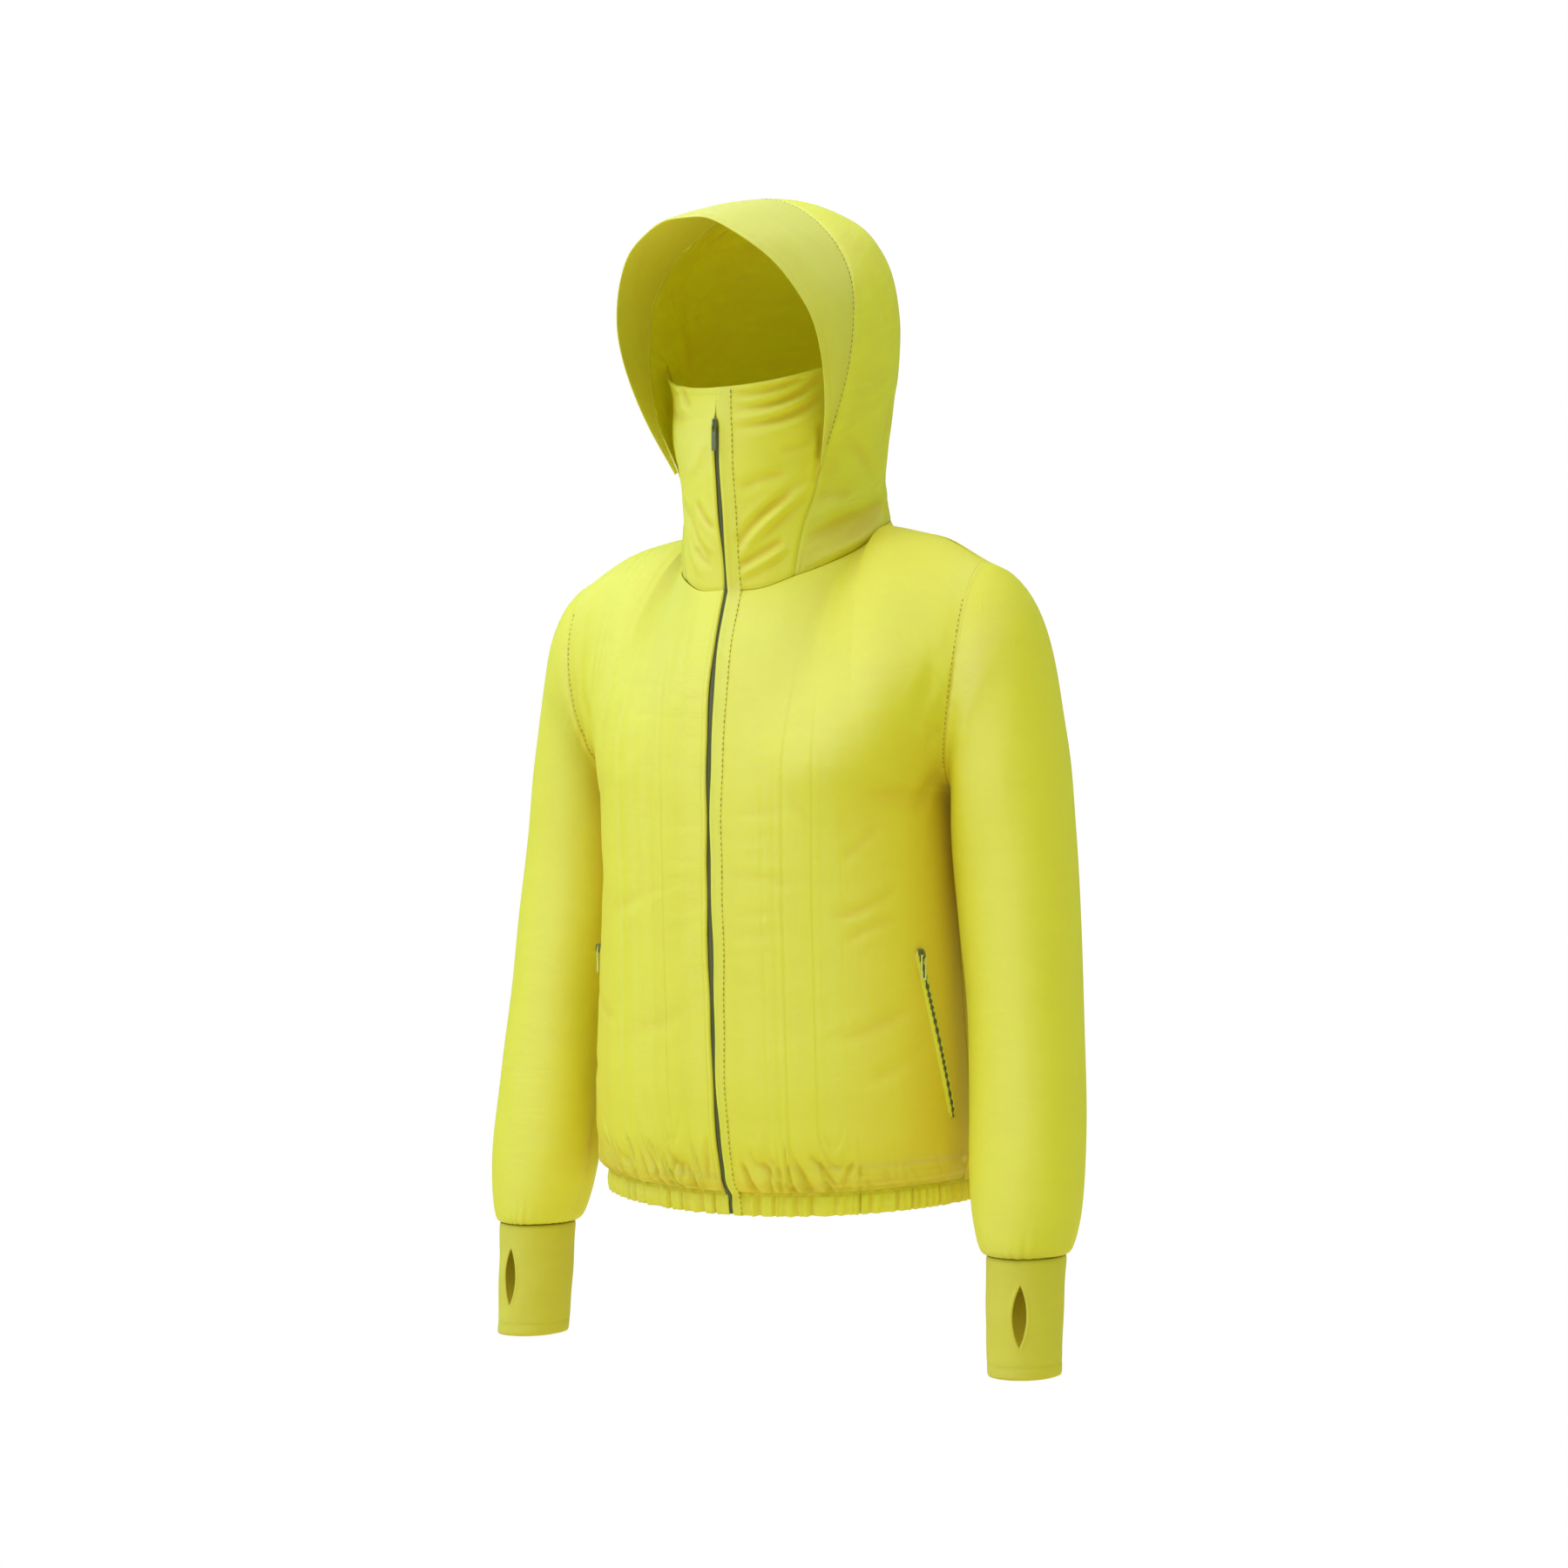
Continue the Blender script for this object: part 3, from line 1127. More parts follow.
def sleeveLift(side, angle, down, up):  # tucks at the armhole, gathers at the cuff, and soft waves between
    seed = sleeveCut["seed"][side]
    around = np.radians(angle)
    drift = 0.9 * np.sin(3 * around + seed) + 0.7 * np.sin(5 * around + 2 * seed)
    tucks = (valleys(21 * around + drift) - 0.3) * (0.7 + 0.4 * np.sin(4 * around + seed)) * seamShown(up)
    lift = -sleeveCut["tuckDepth"] * tucks * hump(down / (17 * mm)) * stepUp(down / tuckStart)
    lift -= seamDepths["flat"] * seamShown(up) * hump(down / (2.2 * mm))
    pleats = valleys(16 * around + drift, 1.3) - 0.35
    fromCuff = down[0] - down
    reach = 17 * mm * (1 + 0.45 * np.sin(7 * around + 2 * seed))
    size = 0.65 + 0.4 * np.sin(5 * around + seed)
    lift -= sleeveCut["pleatDepth"] * pleats * size * hump(fromCuff / reach)
    lift -= 0.9 * mm * hump(fromCuff / (1.6 * mm))
    s = around * sleeveCut["radius"]
    size = sleeveCut["waveSize"]
    wave = np.sin(down / size + 1.5 * np.sin(s / (1.6 * size) + seed) + 0.8 * s / size)
    wave += 0.6 * np.sin(0.57 * down / size - around + seed)
    return lift + sleeveCut["waveDepth"] * wave * (0.6 + 0.4 * np.sin(down / (90 * mm) + seed))


def addSleeve(side):
    grid, angle, down = sleeveForm()
    up = sleeveCut["underarmUp"] + sleeveCut["armholeUp"] * (1 - np.abs(angle) / 180)
    lift = sleeveLift(side, angle, down, up)
    order = np.argsort(angle[0])
    plan = np.stack(np.broadcast_arrays(angle * mm, down), axis=-1)
    lift[:, order] += creases(grid[:, order], plan[:, order], sleeveFolds[side])
    grid = sided(raised(grid, lift, closed=True), side)
    sheltered = 0.9 * stepUp((190 * mm - np.abs(grid[..., 0])) / (18 * mm))
    shade = sheltered * (1 - stepUp(down, 560 * mm, 40 * mm)) + seamShade(down, up)
    sewnTo = ["front_" + side, "back", "cuff_" + side]
    addCloth("sleeve_" + side, grid, sleeveCut, sewnTo, closed=True, shade=shade)


cuffCut = {
    "sections": table(
        "height centreX halfWidth centreY halfDepth",
        (-640, 247, 33.5, -34, 40),
        (-662, 247, 32.5, -35, 39.5),
        (-688, 247, 32, -37, 39.5),
        (-720, 247.5, 31, -38.5, 38.5),
        (-741, 248, 30.5, -40, 38),
    ),
    "slitLength": 52 * mm,
    "slitWidth": 12 * mm,
    "slitMiddle": -688 * mm,
    "slitTurn": {"left": math.radians(-70), "right": math.radians(-84)},
    "top": -640.2 * mm,
    "bottom": -741 * mm,
    "columnStops": (220 * mm, 2.3 * mm, 0.7 * mm, 4 * mm),
    "hemLine": 11 * mm,  # its stitches lie this far from the edge
    "dentDepth": 0.45 * mm,
    "flat": (0.230, 0.103),
}


def addCuff(side):
    sections = cuffCut["sections"]
    slitHalf = cuffCut["slitLength"] / 2
    shares = stops(*cuffCut["columnStops"])
    top, bottom = cuffCut["slitMiddle"] + slitHalf, cuffCut["slitMiddle"] - slitHalf
    low = np.linspace(cuffCut["bottom"], bottom, 14)[:-1]
    high = np.linspace(top, cuffCut["top"], 14)[1:]
    heights = np.concatenate([low, np.linspace(bottom, top, 25), high])
    rows = []
    for height in heights:
        value = tableAt(sections, -height, -sections["height"])
        t = min(abs(height - cuffCut["slitMiddle"]) / slitHalf, 1)
        opening = cuffCut["slitWidth"] / 2 * (1 - t**2) / value["halfDepth"] * 1.2
        turn = cuffCut["slitTurn"][side] + opening + (2 * math.pi - 2 * opening) * shares
        x = value["centreX"] + value["halfWidth"] * np.cos(turn)
        y = value["centreY"] + value["halfDepth"] * np.sin(turn)
        rows.append(np.stack([x, y, np.full_like(x, height)], axis=-1))
    grid = np.stack(rows)
    t = np.clip(np.abs(heights - cuffCut["slitMiddle"]) / slitHalf, 0, 1.3)[:, None]
    rim = stepUp((1.12 - t) / 0.2)
    lift = rim * edgeRoll("slit", np.minimum(fromEdge(grid, "left"), fromEdge(grid, "right")))
    up = upOf(grid)
    around = 2 * math.pi * shares[None, :]
    lift += seamDip(grid, "top", 0.9 * mm, 2.2 * mm) - 0.5 * mm * hump(up / (1.2 * mm))
    hem = hump(up, cuffCut["hemLine"], 1.1 * mm) * (1 + 0.5 * np.sin(9 * around))
    dents = np.sin(3 * around + 1 + up / (14 * mm)) * np.sin(up / (19 * mm) + 2 * around)
    lift += cuffCut["dentDepth"] * (dents - hem)
    grid = raised(grid, lift)
    shut = np.abs(heights - cuffCut["slitMiddle"]) >= slitHalf - 1e-9
    grid[shut, 0] = grid[shut, -1] = (grid[shut, 0] + grid[shut, -1]) / 2
    look = {"finish": stretchCloth, "slot": "stretch_cloth", "thickness": 1.0 * mm}
    addCloth("cuff_" + side, sided(grid, side), cuffCut, ["sleeve_" + side], weld=True, **look)


# Hood, brim and mask


hoodCut = {
    "sections": table(
        "frontX frontY frontZ sideX sideY backY backZ",
        (52, -96, -57.5, 92, 9, 74, 14),
        (56, -93, -35, 90, 5, 72, 34),
        (60, -87, -10, 89, 1, 71, 52),
        (66, -79, 15, 90.5, -2, 73, 72),
        (73, -77, 42, 93, -6, 78, 94),
        (90, -82, 82, 98, -10, 86, 122),
        (100, -79, 120, 103, -15, 91, 152),
        (104, -76, 160, 106, -20, 90, 190),
        (102, -73, 192, 103.5, -24, 78, 228),
        (93, -68, 218, 96, -27, 59, 254),
        (77, -64, 242, 81, -32, 36, 274),
        (50, -57, 265.5, 53, -41, 6, 286),
        (25, -53.5, 280, 26, -47, -20, 289),
        (1.5, -52.5, 285.5, 1.6, -51.5, -50.5, 286.5),
    ),
    "toNeck": (1, 0.5, 0.15, 0, 0),  # how far the lowest sections are drawn to the neck seam
    "maskShare": 1 / 3,  # the hood starts this far round the front half of the neck
    "columnStops": (215 * mm, 2.6 * mm, 0.8 * mm, 5 * mm),
    "rowStops": (3.4 * mm, 0.9 * mm, 5 * mm),
    "neckTucks": (11 * mm, 1.2 * mm, 12 * mm),
    "faceTucks": (12 * mm, 0.6 * mm, 10 * mm),
    "crownTucks": (13 * mm, 0.5 * mm, 9 * mm),
    "seed": {"left": 0.4, "right": 2.2},
    "flat": (0.255, 0.405),
    "area": 0.071,
}


def hoodSection(place, shares):
    value = tableAt(hoodCut["sections"], place)
    turn = np.linspace(0, math.pi / 2, 60)
    behindX = value["sideX"] * np.cos(turn) ** 0.92
    behindY = value["sideY"] + (value["backY"] - value["sideY"]) * np.sin(turn) ** 0.92
    t = np.linspace(0, 1, 30)[:-1]
    beforeX = value["frontX"] + (value["sideX"] - value["frontX"]) * (1 - (1 - t) ** 2)
    beforeY = value["frontY"] + (value["sideY"] - value["frontY"]) * t
    x = np.concatenate([beforeX, behindX])
    y = np.concatenate([beforeY, behindY])
    z = value["frontZ"] + (value["backZ"] - value["frontZ"]) * (y - y[0]) / (y[-1] - y[0])
    return spread(np.stack([x, y, z], axis=-1), shares)


def hoodNeck(shares):
    front = neckLine(np.linspace(hoodCut["maskShare"], 1, 60))
    behind = neckLine(np.linspace(1, 0, 60), back=True)
    return spread(np.concatenate([front, behind[1:]]), shares)


def toNeck(place):  # how far each of the lowest sections is drawn to the neck seam
    return smooth(range(len(hoodCut["toNeck"])), hoodCut["toNeck"], np.minimum(place, 4))


def hoodRow(place, shares):
    return hoodSection(place, shares) + toNeck(place) * (hoodNeck(shares) - hoodSection(0, shares))


hoodFolds = {
    "left": foldTable(
        (6, 7, 124, 3, 2, 4, 1.8, 0.0),
        (3, 28, 128, 18, 4, 9, -3.0, 0.2),
        (8, 66, 60, 44, 5, 7, -1.2, 0.2),
        (86, 42, 134, 12, 3, 5, 1.8, 0.0),
        (12, 126, 84, 46, 6, 10, -1.2, 0.2),
        (102, 154, 84, 78, 5, 8, -1.1, 0.2),
        (34, 248, 70, 180, 6, 10, -1.0, 0.2),
        (150, 60, 126, 128, 6, 10, -1.4, 0.2),
        (196, 84, 160, 150, 6, 12, -1.4, 0.2),
        (200, 30, 140, 44, 5, 8, -1.8, 0.2),
        (150, 200, 120, 270, 6, 12, -1.0, 0.2),
        (100, 330, 140, 372, 4, 10, -0.9, 0.2),
    ),
    "right": foldTable(
        (8, 14, 118, 5, 3, 5, 1.5, 0.0),
        (4, 52, 124, 18, 6, 7, -2.0, 0.2),
        (14, 118, 92, 52, 6, 9, -1.3, 0.2),
        (100, 148, 80, 84, 5, 8, -1.2, 0.2),
        (156, 64, 130, 120, 6, 10, -1.4, 0.2),
        (194, 90, 158, 158, 6, 12, -1.3, 0.2),
        (198, 34, 142, 50, 5, 8, -1.7, 0.2),
        (40, 238, 76, 178, 6, 10, -1.1, 0.2),
        (112, 322, 146, 366, 4, 10, -0.9, 0.2),
    ),
}


def addHood(side):
    shares = stops(*hoodCut["columnStops"])
    places = np.linspace(0, len(hoodCut["sections"]["sideX"]) - 1, 261)
    run = lengthsAlong(np.stack([hoodRow(place, np.array([0.5]))[0] for place in places]))
    grid = np.stack([hoodRow(place, shares) for place in stopsAlong(run, places, *hoodCut["rowStops"])])
    seed = hoodCut["seed"][side]
    size = stepUp(np.linalg.norm(grid[:, -1] - grid[:, 0], axis=1), 20 * mm, 60 * mm)[:, None]
    crisp = 1.0 if side == "right" else stepUp(fromEdge(grid, "left"), 120 * mm, 40 * mm)
    lift = ripple(grid, 12 * mm, 0.5 * mm, seed, slant=-0.3) * size
    lift += ripple(grid, 3 * mm, 0.8 * mm, seed + 3, slant=0.8) * crisp * size
    lift += creases(grid, planOf(grid), hoodFolds[side])
    lift += pinches(grid, "bottom", *hoodCut["neckTucks"], seed)
    lift += pinches(grid, "left", *hoodCut["faceTucks"], seed + 1) * size
    lift += pinches(grid, "right", *hoodCut["crownTucks"], seed + 2) * size
    lift += seamDip(grid, "left", 1.5 * mm, 2.0 * mm) + seamDip(grid, "bottom", seamDepths["flat"])
    lift += seamDip(grid, "right", 0.9 * mm) * (0.3 + 0.7 * size)
    grid = sided(raised(grid, lift), side)
    sewnTo = ["hood_" + otherSide[side], "back", "hood_brim", "mask_" + side]
    shade = 0.55 * hump(upOf(grid), 10 * mm, 16 * mm)  # deeper colour above the neck seam
    addCloth("hood_" + side, grid, hoodCut, sewnTo, finish=hoodCloth, shade=shade)


brimCut = {
    "edge": table(
        "x y z",
        (73.6, -80, 40),
        (90, -103, 84),
        (98, -122, 122),
        (98, -139, 154),
        (90, -155, 180),
        (76, -171, 204),
        (58, -185, 222),
        (36, -190.5, 237),
        (19, -192.5, 244),
        (1.5, -193, 245),
    ),
    "firstPlace": 4,  # the section of the hood where the brim's tip lies
    "swell": 3 * mm,
    "columnStops": (3.2 * mm, 1.2 * mm),
    "rowStops": (130 * mm, 3.6 * mm, 0.8 * mm, 5 * mm),
    "tucks": (15 * mm, 0.35 * mm, 12 * mm),
    "hemLine": 8 * mm,
    "flat": (0.147, 0.606),
    "area": 0.047,
}


def addBrim():
    first = brimCut["firstPlace"]
    sections = hoodCut["sections"]
    seam = np.stack([sections[name][first:] for name in ("frontX", "frontY", "frontZ")], axis=-1)
    edge = pointsOf(brimCut["edge"])
    seam = np.concatenate([seam * flip, seam[::-1]])
    edge = np.concatenate([edge * flip, edge[::-1]])
    knots = np.arange(len(seam))
    stop = stopsAlong(lengthsAlong((seam + edge) / 2), knots, *brimCut["columnStops"])
    seam, edge = smooth(knots, seam, stop), smooth(knots, edge, stop)
    t = stops(*brimCut["rowStops"])[:, None, None]
    grid = edge + (seam - edge) * t
    width = np.linalg.norm(seam - edge, axis=1)
    wide = stepUp(width / (30 * mm))
    lift = brimCut["swell"] * np.sin(math.pi * t[:, 0]) * width / width.max()
    lift += ripple(grid, 22 * mm, 0.5 * mm, 1.4) * wide
    lift += pinches(grid, "top", *brimCut["tucks"], 2.0) * wide
    lift += seamDip(grid, "top", 1.3 * mm, 1.7 * mm) * wide
    fromRim = fromEdge(grid, "bottom")
    lift -= 0.7 * mm * hump(fromRim / (1.3 * mm)) * wide  # the turned edge
    lift -= 0.35 * mm * hump(fromRim, brimCut["hemLine"], 1.2 * mm) * wide
    look = {"finish": brimCloth, "slot": "brim_cloth", "thickness": 0.9 * mm}
    addCloth("hood_brim", raised(grid, lift), brimCut, ["hood_left", "hood_right"], **look)


maskCut = {
    "sections": table(
        "centreY centreZ seat seatShare inset",
        (-119, -69, 0, 0, 0),
        (-122, -45, 1, 0, 0),
        (-127, -20, 2, 0, 0),
        (-131, 5, 3, 0, 0),
        (-134.6, 32, 3.7, 0.008, 1.2),
        (-135.6, 42, 4.05, 0.025, 2.4),
        (-136.5, 54, 4.4, 0.06, 3.1),
        (-137, 68, 4.85, 0.12, 3.2),
        (-137, 80, 5.25, 0.165, 2.8),
        (-136.7, 86, 5.5, 0.19, 2.6),
        (-136, 98, 6.0, 0.19, 2.2),
        (-135, 107, 6.45, 0.14, 2.2),
    ),
    "zipTop": 79 * mm,
    "columnStops": (110 * mm, 2.1 * mm, 0.7 * mm, 4 * mm),
    "rowStops": (2.4 * mm, 0.7 * mm, 4 * mm),
    "neckTucks": (10 * mm, 0.9 * mm, 11 * mm),
    "sideTucks": (10 * mm, 0.9 * mm, 12 * mm),
    "seed": {"left": 0.9, "right": 1.6},
    "flat": (0.155, 0.230),
    "area": 0.0190,
}


def maskRow(place, t):
    value = tableAt(maskCut["sections"], place)
    near = np.stack(
        [
            hoodRow(value["seat"] + step, value["seatShare"] + np.array([0, 0.005, 0.01]))
            for step in (-0.1, 0, 0.1)
        ]
    )
    seat = near[1, 0] - value["inset"] * gridNormals(near)[1, 0]
    zipped = 1 - stepUp(value["centreZ"] - maskCut["zipTop"], -3 * mm, 4 * mm)
    shut = 0.3 * mm  # from the middle, above the zip
    first = np.array([shut + (bodyCut["zipGap"] - shut) * zipped, value["centreY"]])
    reach = np.linalg.norm(seat[:2] - first)
    leave = first + 0.4 * reach * np.array([0.98, 0.2])
    arrive = seat[:2] - 0.35 * reach * np.array([0.45, 0.89])
    t = t[:, None]
    flat = (1 - t) ** 3 * first + 3 * (1 - t) ** 2 * t * leave
    flat = flat + 3 * (1 - t) * t**2 * arrive + t**3 * seat[:2]
    return np.concatenate([flat, value["centreZ"] + (seat[2] - value["centreZ"]) * t**1.7], axis=1)


maskFolds = {
    "left": foldTable(
        (16, 167, 84, 192, -5, 3.2, -2.4, 0.2),
        (16, 156, 98, 191, -8, 4, -3.4, 0.3),
        (14, 140, 98, 174, -7, 4.5, -3.0, 0.3),
        (30, 150, 96, 184, -6, 3.5, 1.3, 0.0),
        (12, 27, 88, 82, 9, 4.5, 2.8, 0.2),
        (13, 38, 66, 78, 6, 4.5, -2.6, 0.2),
        (14, 21, 52, 38, 1, 3.5, -2.0, 0.2),
        (12, 13, 56, 30, 1, 3.5, 2.0, 0.0),
        (94, 146, 92, 108, 2, 3.5, -3.2, 0.0),
        (92, 108, 86, 84, 1, 3, -1.6, 0.0),
        (18, 86, 60, 98, 3, 5, -1.4, 0.2),
        (56, 120, 92, 132, -3, 5, -1.6, 0.2),
    ),
    "right": foldTable(
        (64, 196, 45, 160, 2, 3.5, 2.2, 0.0),
        (54, 190, 34, 162, 2, 3.5, -1.8, 0.2),
        (14, 150, 90, 168, -4, 5, -1.3, 0.3),
        (26, 80, 6, 54, 2, 3.5, -2.2, 0.2),
        (38, 63, 12, 27, 3, 3.5, -2.4, 0.2),
        (33, 38, 14, 22, 1, 3, -2.2, 0.2),
        (48, 52, 26, 14, 2, 4, 1.6, 0.2),
        (40, 104, 8, 134, 3, 6, 1.3, 0.2),
        (90, 112, 95, 142, 2, 4, -2.2, 0.2),
        (84, 92, 30, 62, 4, 6, -1.3, 0.2),
    ),
}


def addMask(side):
    sections = maskCut["sections"]
    line = np.stack([sections["centreY"], sections["centreY"] * 0, sections["centreZ"]], axis=-1)
    run = lengthsAlong(line)
    place = stopsAlong(run, np.arange(len(run)), *maskCut["rowStops"])
    t = stops(*maskCut["columnStops"])
    grid = np.stack([maskRow(p, t) for p in place])
    drawn = neckLine(t * hoodCut["maskShare"]) - grid[0]
    drawn[:, 0] += bodyCut["zipGap"] * (1 - t)
    grid = soften(grid + toNeck(place)[:, None, None] * drawn, 14)
    seed = maskCut["seed"][side]
    low = stepUp((4.6 - place) / 0.8)[:, None]
    lift = ripple(grid, 10 * mm, 0.35 * mm, seed) + creases(grid, planOf(grid), maskFolds[side])
    lift += pinches(grid, "bottom", *maskCut["neckTucks"], seed)
    lift += pinches(grid, "right", *maskCut["sideTucks"], seed + 1) * low
    lift += seamDip(grid, "bottom", seamDepths["flat"]) + seamDip(grid, "right") * low
    zipped = stepUp((maskCut["zipTop"] + 2 * mm - grid[:, 0, 2]) / (3 * mm))[:, None]
    lift += zipped * edgeRoll("zip", fromEdge(grid, "left"))
    lift += edgeRoll("mask", fromEdge(grid, "top"))
    grid = sided(sway(raised(grid, lift)), side)
    addCloth("mask_" + side, grid, maskCut, ["front_" + side, "hood_" + side, "front_zip"])


addFronts()
addBack()
addHemBand()
for side in ("left", "right"):
    addSleeve(side)
    addCuff(side)
    addHood(side)
    addMask(side)
addBrim()
print("cloth made")


# The facing strip beside the zip


placketCut = {
    "edge": table("z outer", (-612, 9.5), (-573, 10), (-359, 13), (-100, 14.5), (107, 14)),
    "inner": 1.3 * mm,
    "rise": 0.5 * mm,
    "tuck": 0.5 * mm,  # how far its edges press into the cloth
    "shares": np.array([0, 0.03, 0.08, 0.2, 0.35, 0.5, 0.65, 0.76, 0.84, 0.9, 0.95, 0.985, 1]),
    "flat": (0.014, 0.735),
}


def placketGrid():
    shares = placketCut["shares"]
    inner, rise, tuck = placketCut["inner"], placketCut["rise"], placketCut["tuck"]
    rows = []
    for name in ("hem_band", "front_left", "mask_left"):
        for row in walls[name][:, :40]:
            outer = np.interp(row[0, 2], placketCut["edge"]["z"], placketCut["edge"]["outer"])
            rows.append(pointsAt(inner + (outer - inner) * shares, lengthsAlong(row), row))
    rows = np.stack(rows)
    heights = np.arange(rows[0, 0, 2], rows[-1, 0, 2], 2.4 * mm)
    rows = rows[np.argsort(rows[:, 0, 2])]
    wall = np.stack([pointsAt(heights, rows[:, 0, 2], rows[:, j]) for j in range(len(shares))], axis=1)
    even = soften(wall, 10)
    out = gridNormals(even)
    proud = np.maximum(np.einsum("ijk,ijk->ij", wall - even, out), 0)  # where the cloth below stands out
    proud = np.maximum(proud, np.maximum(np.roll(proud, 1, axis=0), np.roll(proud, -1, axis=0)))
    edges = np.minimum(shares, 1 - shares) * 12 * mm
    lift = soften(proud, 2) + rise - (rise + tuck) * hump(edges / (0.5 * mm))
    lift -= 0.25 * mm * hump(edges, 1.6 * mm, 0.5 * mm) * (shares > 0.5)  # the stitched line
    return even + lift[..., None] * out


def addPlacket():
    sewnTo = ["front_left", "mask_left", "hem_band"]
    addCloth("placket", placketGrid(), placketCut, sewnTo, thickness=0.4 * mm)


addPlacket()
print("placket made")


# Zips and stitches: small rounded beads set along lines


def beadsAlong(line, out, pitch, size, offset=0.0, lift=0.0, lean=0.0, start=0.0, end=0.0):
    run = lengthsAlong(line)
    at = np.arange(start + pitch / 2, run[-1] - end, pitch)
    place = pointsAt(at, run, line)
    way = unit(pointsAt(at, run, unit(np.gradient(line, axis=0))))
    out = unit(pointsAt(at, run, out))
    across = np.cross(way, out)
    turned = way * math.cos(lean) + across * math.sin(lean)
    sizes = np.tile(np.array(size, float), (len(at), 1))
    return {"place": place + offset * across + lift * out, "way": turned, "out": out, "size": sizes}


def beadGroup():
    group = bpy.data.node_groups.new("beadsOnPoints", "GeometryNodeTree")
    kinds = {"Segments": "Int", "Rings": "Int", "Jitter": "Float", "Seed": "Int", "Finish": "Material"}
    group.interface.new_socket("Geometry", in_out="INPUT", socket_type="NodeSocketGeometry")
    ids = {}
    for label, kind in kinds.items():
        socket = group.interface.new_socket(label, in_out="INPUT", socket_type="NodeSocket" + kind)
        ids[label] = socket.identifier
    group.interface.new_socket("Geometry", in_out="OUTPUT", socket_type="NodeSocketGeometry")

    def add(kind, settings=None, **sockets):  # a socket is given by its name or, as s0 or s1, by its number
        node = group.nodes.new(kind)
        for name, value in (settings or {}).items():
            setattr(node, name, value)
        shown = [socket for socket in node.inputs if socket.enabled]
        for name, value in sockets.items():
            if name in ("s0", "s1"):
                target = node.inputs[int(name[1])]
            else:
                target = next(socket for socket in shown if socket.name == name.replace("_", " "))
            if isinstance(value, bpy.types.NodeSocket):
                group.links.new(value, target)
            else:
                target.default_value = value
        return next(socket for socket in node.outputs if socket.enabled)

    def stored(name):
        return add("GeometryNodeInputNamedAttribute", {"data_type": "FLOAT_VECTOR"}, Name=name)

    given = group.nodes.new("NodeGroupInput").outputs
    bead = add("GeometryNodeMeshUVSphere", Segments=given["Segments"], Rings=given["Rings"], Radius=0.5)
    low = add("ShaderNodeMath", {"operation": "SUBTRACT"}, s0=1, s1=given["Jitter"])
    high = add("ShaderNodeMath", {"operation": "ADD"}, s0=1, s1=given["Jitter"])
    swing = add("FunctionNodeRandomValue", {"data_type": "FLOAT"}, Min=low, Max=high, Seed=given["Seed"])
    scale = add("ShaderNodeVectorMath", {"operation": "SCALE"}, s0=stored("size"), Scale=swing)
    axes = {"primary_axis": "Z", "secondary_axis": "X"}
    turn = add("FunctionNodeAxesToRotation", axes, Primary_Axis=stored("out"), Secondary_Axis=stored("way"))
    setting = {"Points": given["Geometry"], "Instance": bead, "Rotation": turn, "Scale": scale}
    real = add("GeometryNodeRealizeInstances", Geometry=add("GeometryNodeInstanceOnPoints", **setting))
    even = add("GeometryNodeSetShadeSmooth", Geometry=real)
    coated = add("GeometryNodeSetMaterial", Geometry=even, Material=given["Finish"])
    group.links.new(coated, group.nodes.new("NodeGroupOutput").inputs[0])
    return group, ids


beadNodes, beadInputs = beadGroup()
beadRoundness = {"Segments": 6, "Rings": 4}


def addBeads(name, sets, finish, slot, nodes=(), seed=1, jitter=0.08):
    values = {key: np.concatenate([one[key] for one in sets]) for key in ("place", "way", "out", "size")}
    mesh = bpy.data.meshes.new(name + "Places")
    mesh.from_pydata(values["place"].tolist(), [], [])
    for key in ("way", "out", "size"):
        layer = mesh.attributes.new(key, "FLOAT_VECTOR", "POINT")
        layer.data.foreach_set("vector", values[key].reshape(-1).astype(np.float32))
    places = bpy.data.objects.new(name + "Places", mesh)
    bpy.context.scene.collection.objects.link(places)
    modifier = places.modifiers.new("Beads", "NODES")
    modifier.node_group = beadNodes
    given = {**beadRoundness, "Jitter": jitter, "Seed": seed, "Finish": finish}
    for label, value in given.items():
        modifier[beadInputs[label]] = value
    made = bpy.data.meshes.new_from_object(places.evaluated_get(bpy.context.evaluated_depsgraph_get()))
    bpy.data.objects.remove(places)
    made.name = name
    print(name, len(values["place"]), "beads")
    return addPiece(name, made, finish, slot, nodes)


zipLook = {
    "pitch": 1.3 * mm,
    "tooth": (0.85 * mm, 1.75 * mm, 1.2 * mm),  # along the zip, across it, and out of it
    "toothOffset": 0.72 * mm,
    "toothLean": 0.16,
    "sink": 0.5 * mm,  # how far the coil's middle lies in from the cloth
    "tapeHalf": 4 * mm,
    "pocketTooth": (0.85 * mm, 1.5 * mm, 0.9 * mm),
    "pocketOffset": 0.62 * mm,
    "pocketLift": 0.65 * mm,
    "pocketTapeHalf": 2.4 * mm,
}


def zipTeeth(line, out, tooth, offset, lift):  # two rows, half a pitch apart
    pitch, lean = zipLook["pitch"], zipLook["toothLean"]
    return [
        beadsAlong(line, out, pitch, tooth, way * offset, lift, way * lean, start)
        for way, start in ((-1, 0), (1, pitch / 2))
    ]


def zipLine():  # up the middle, from the hem to the zip's top
    edge = np.concatenate([walls[name][:, 0] for name in ("hem_band", "front_left", "mask_left")])
    edge = edge[np.argsort(edge[:, 2])]
    heights = np.arange(edge[0, 2] + 0.5 * mm, maskCut["zipTop"], 2 * mm)
    y = soften(np.interp(heights, edge[:, 2], edge[:, 1]), 20)
    line = np.stack([0 * y, y, heights], axis=-1)
    return sway(line), unit(np.cross([1.0, 0, 0], np.gradient(line, axis=0)))


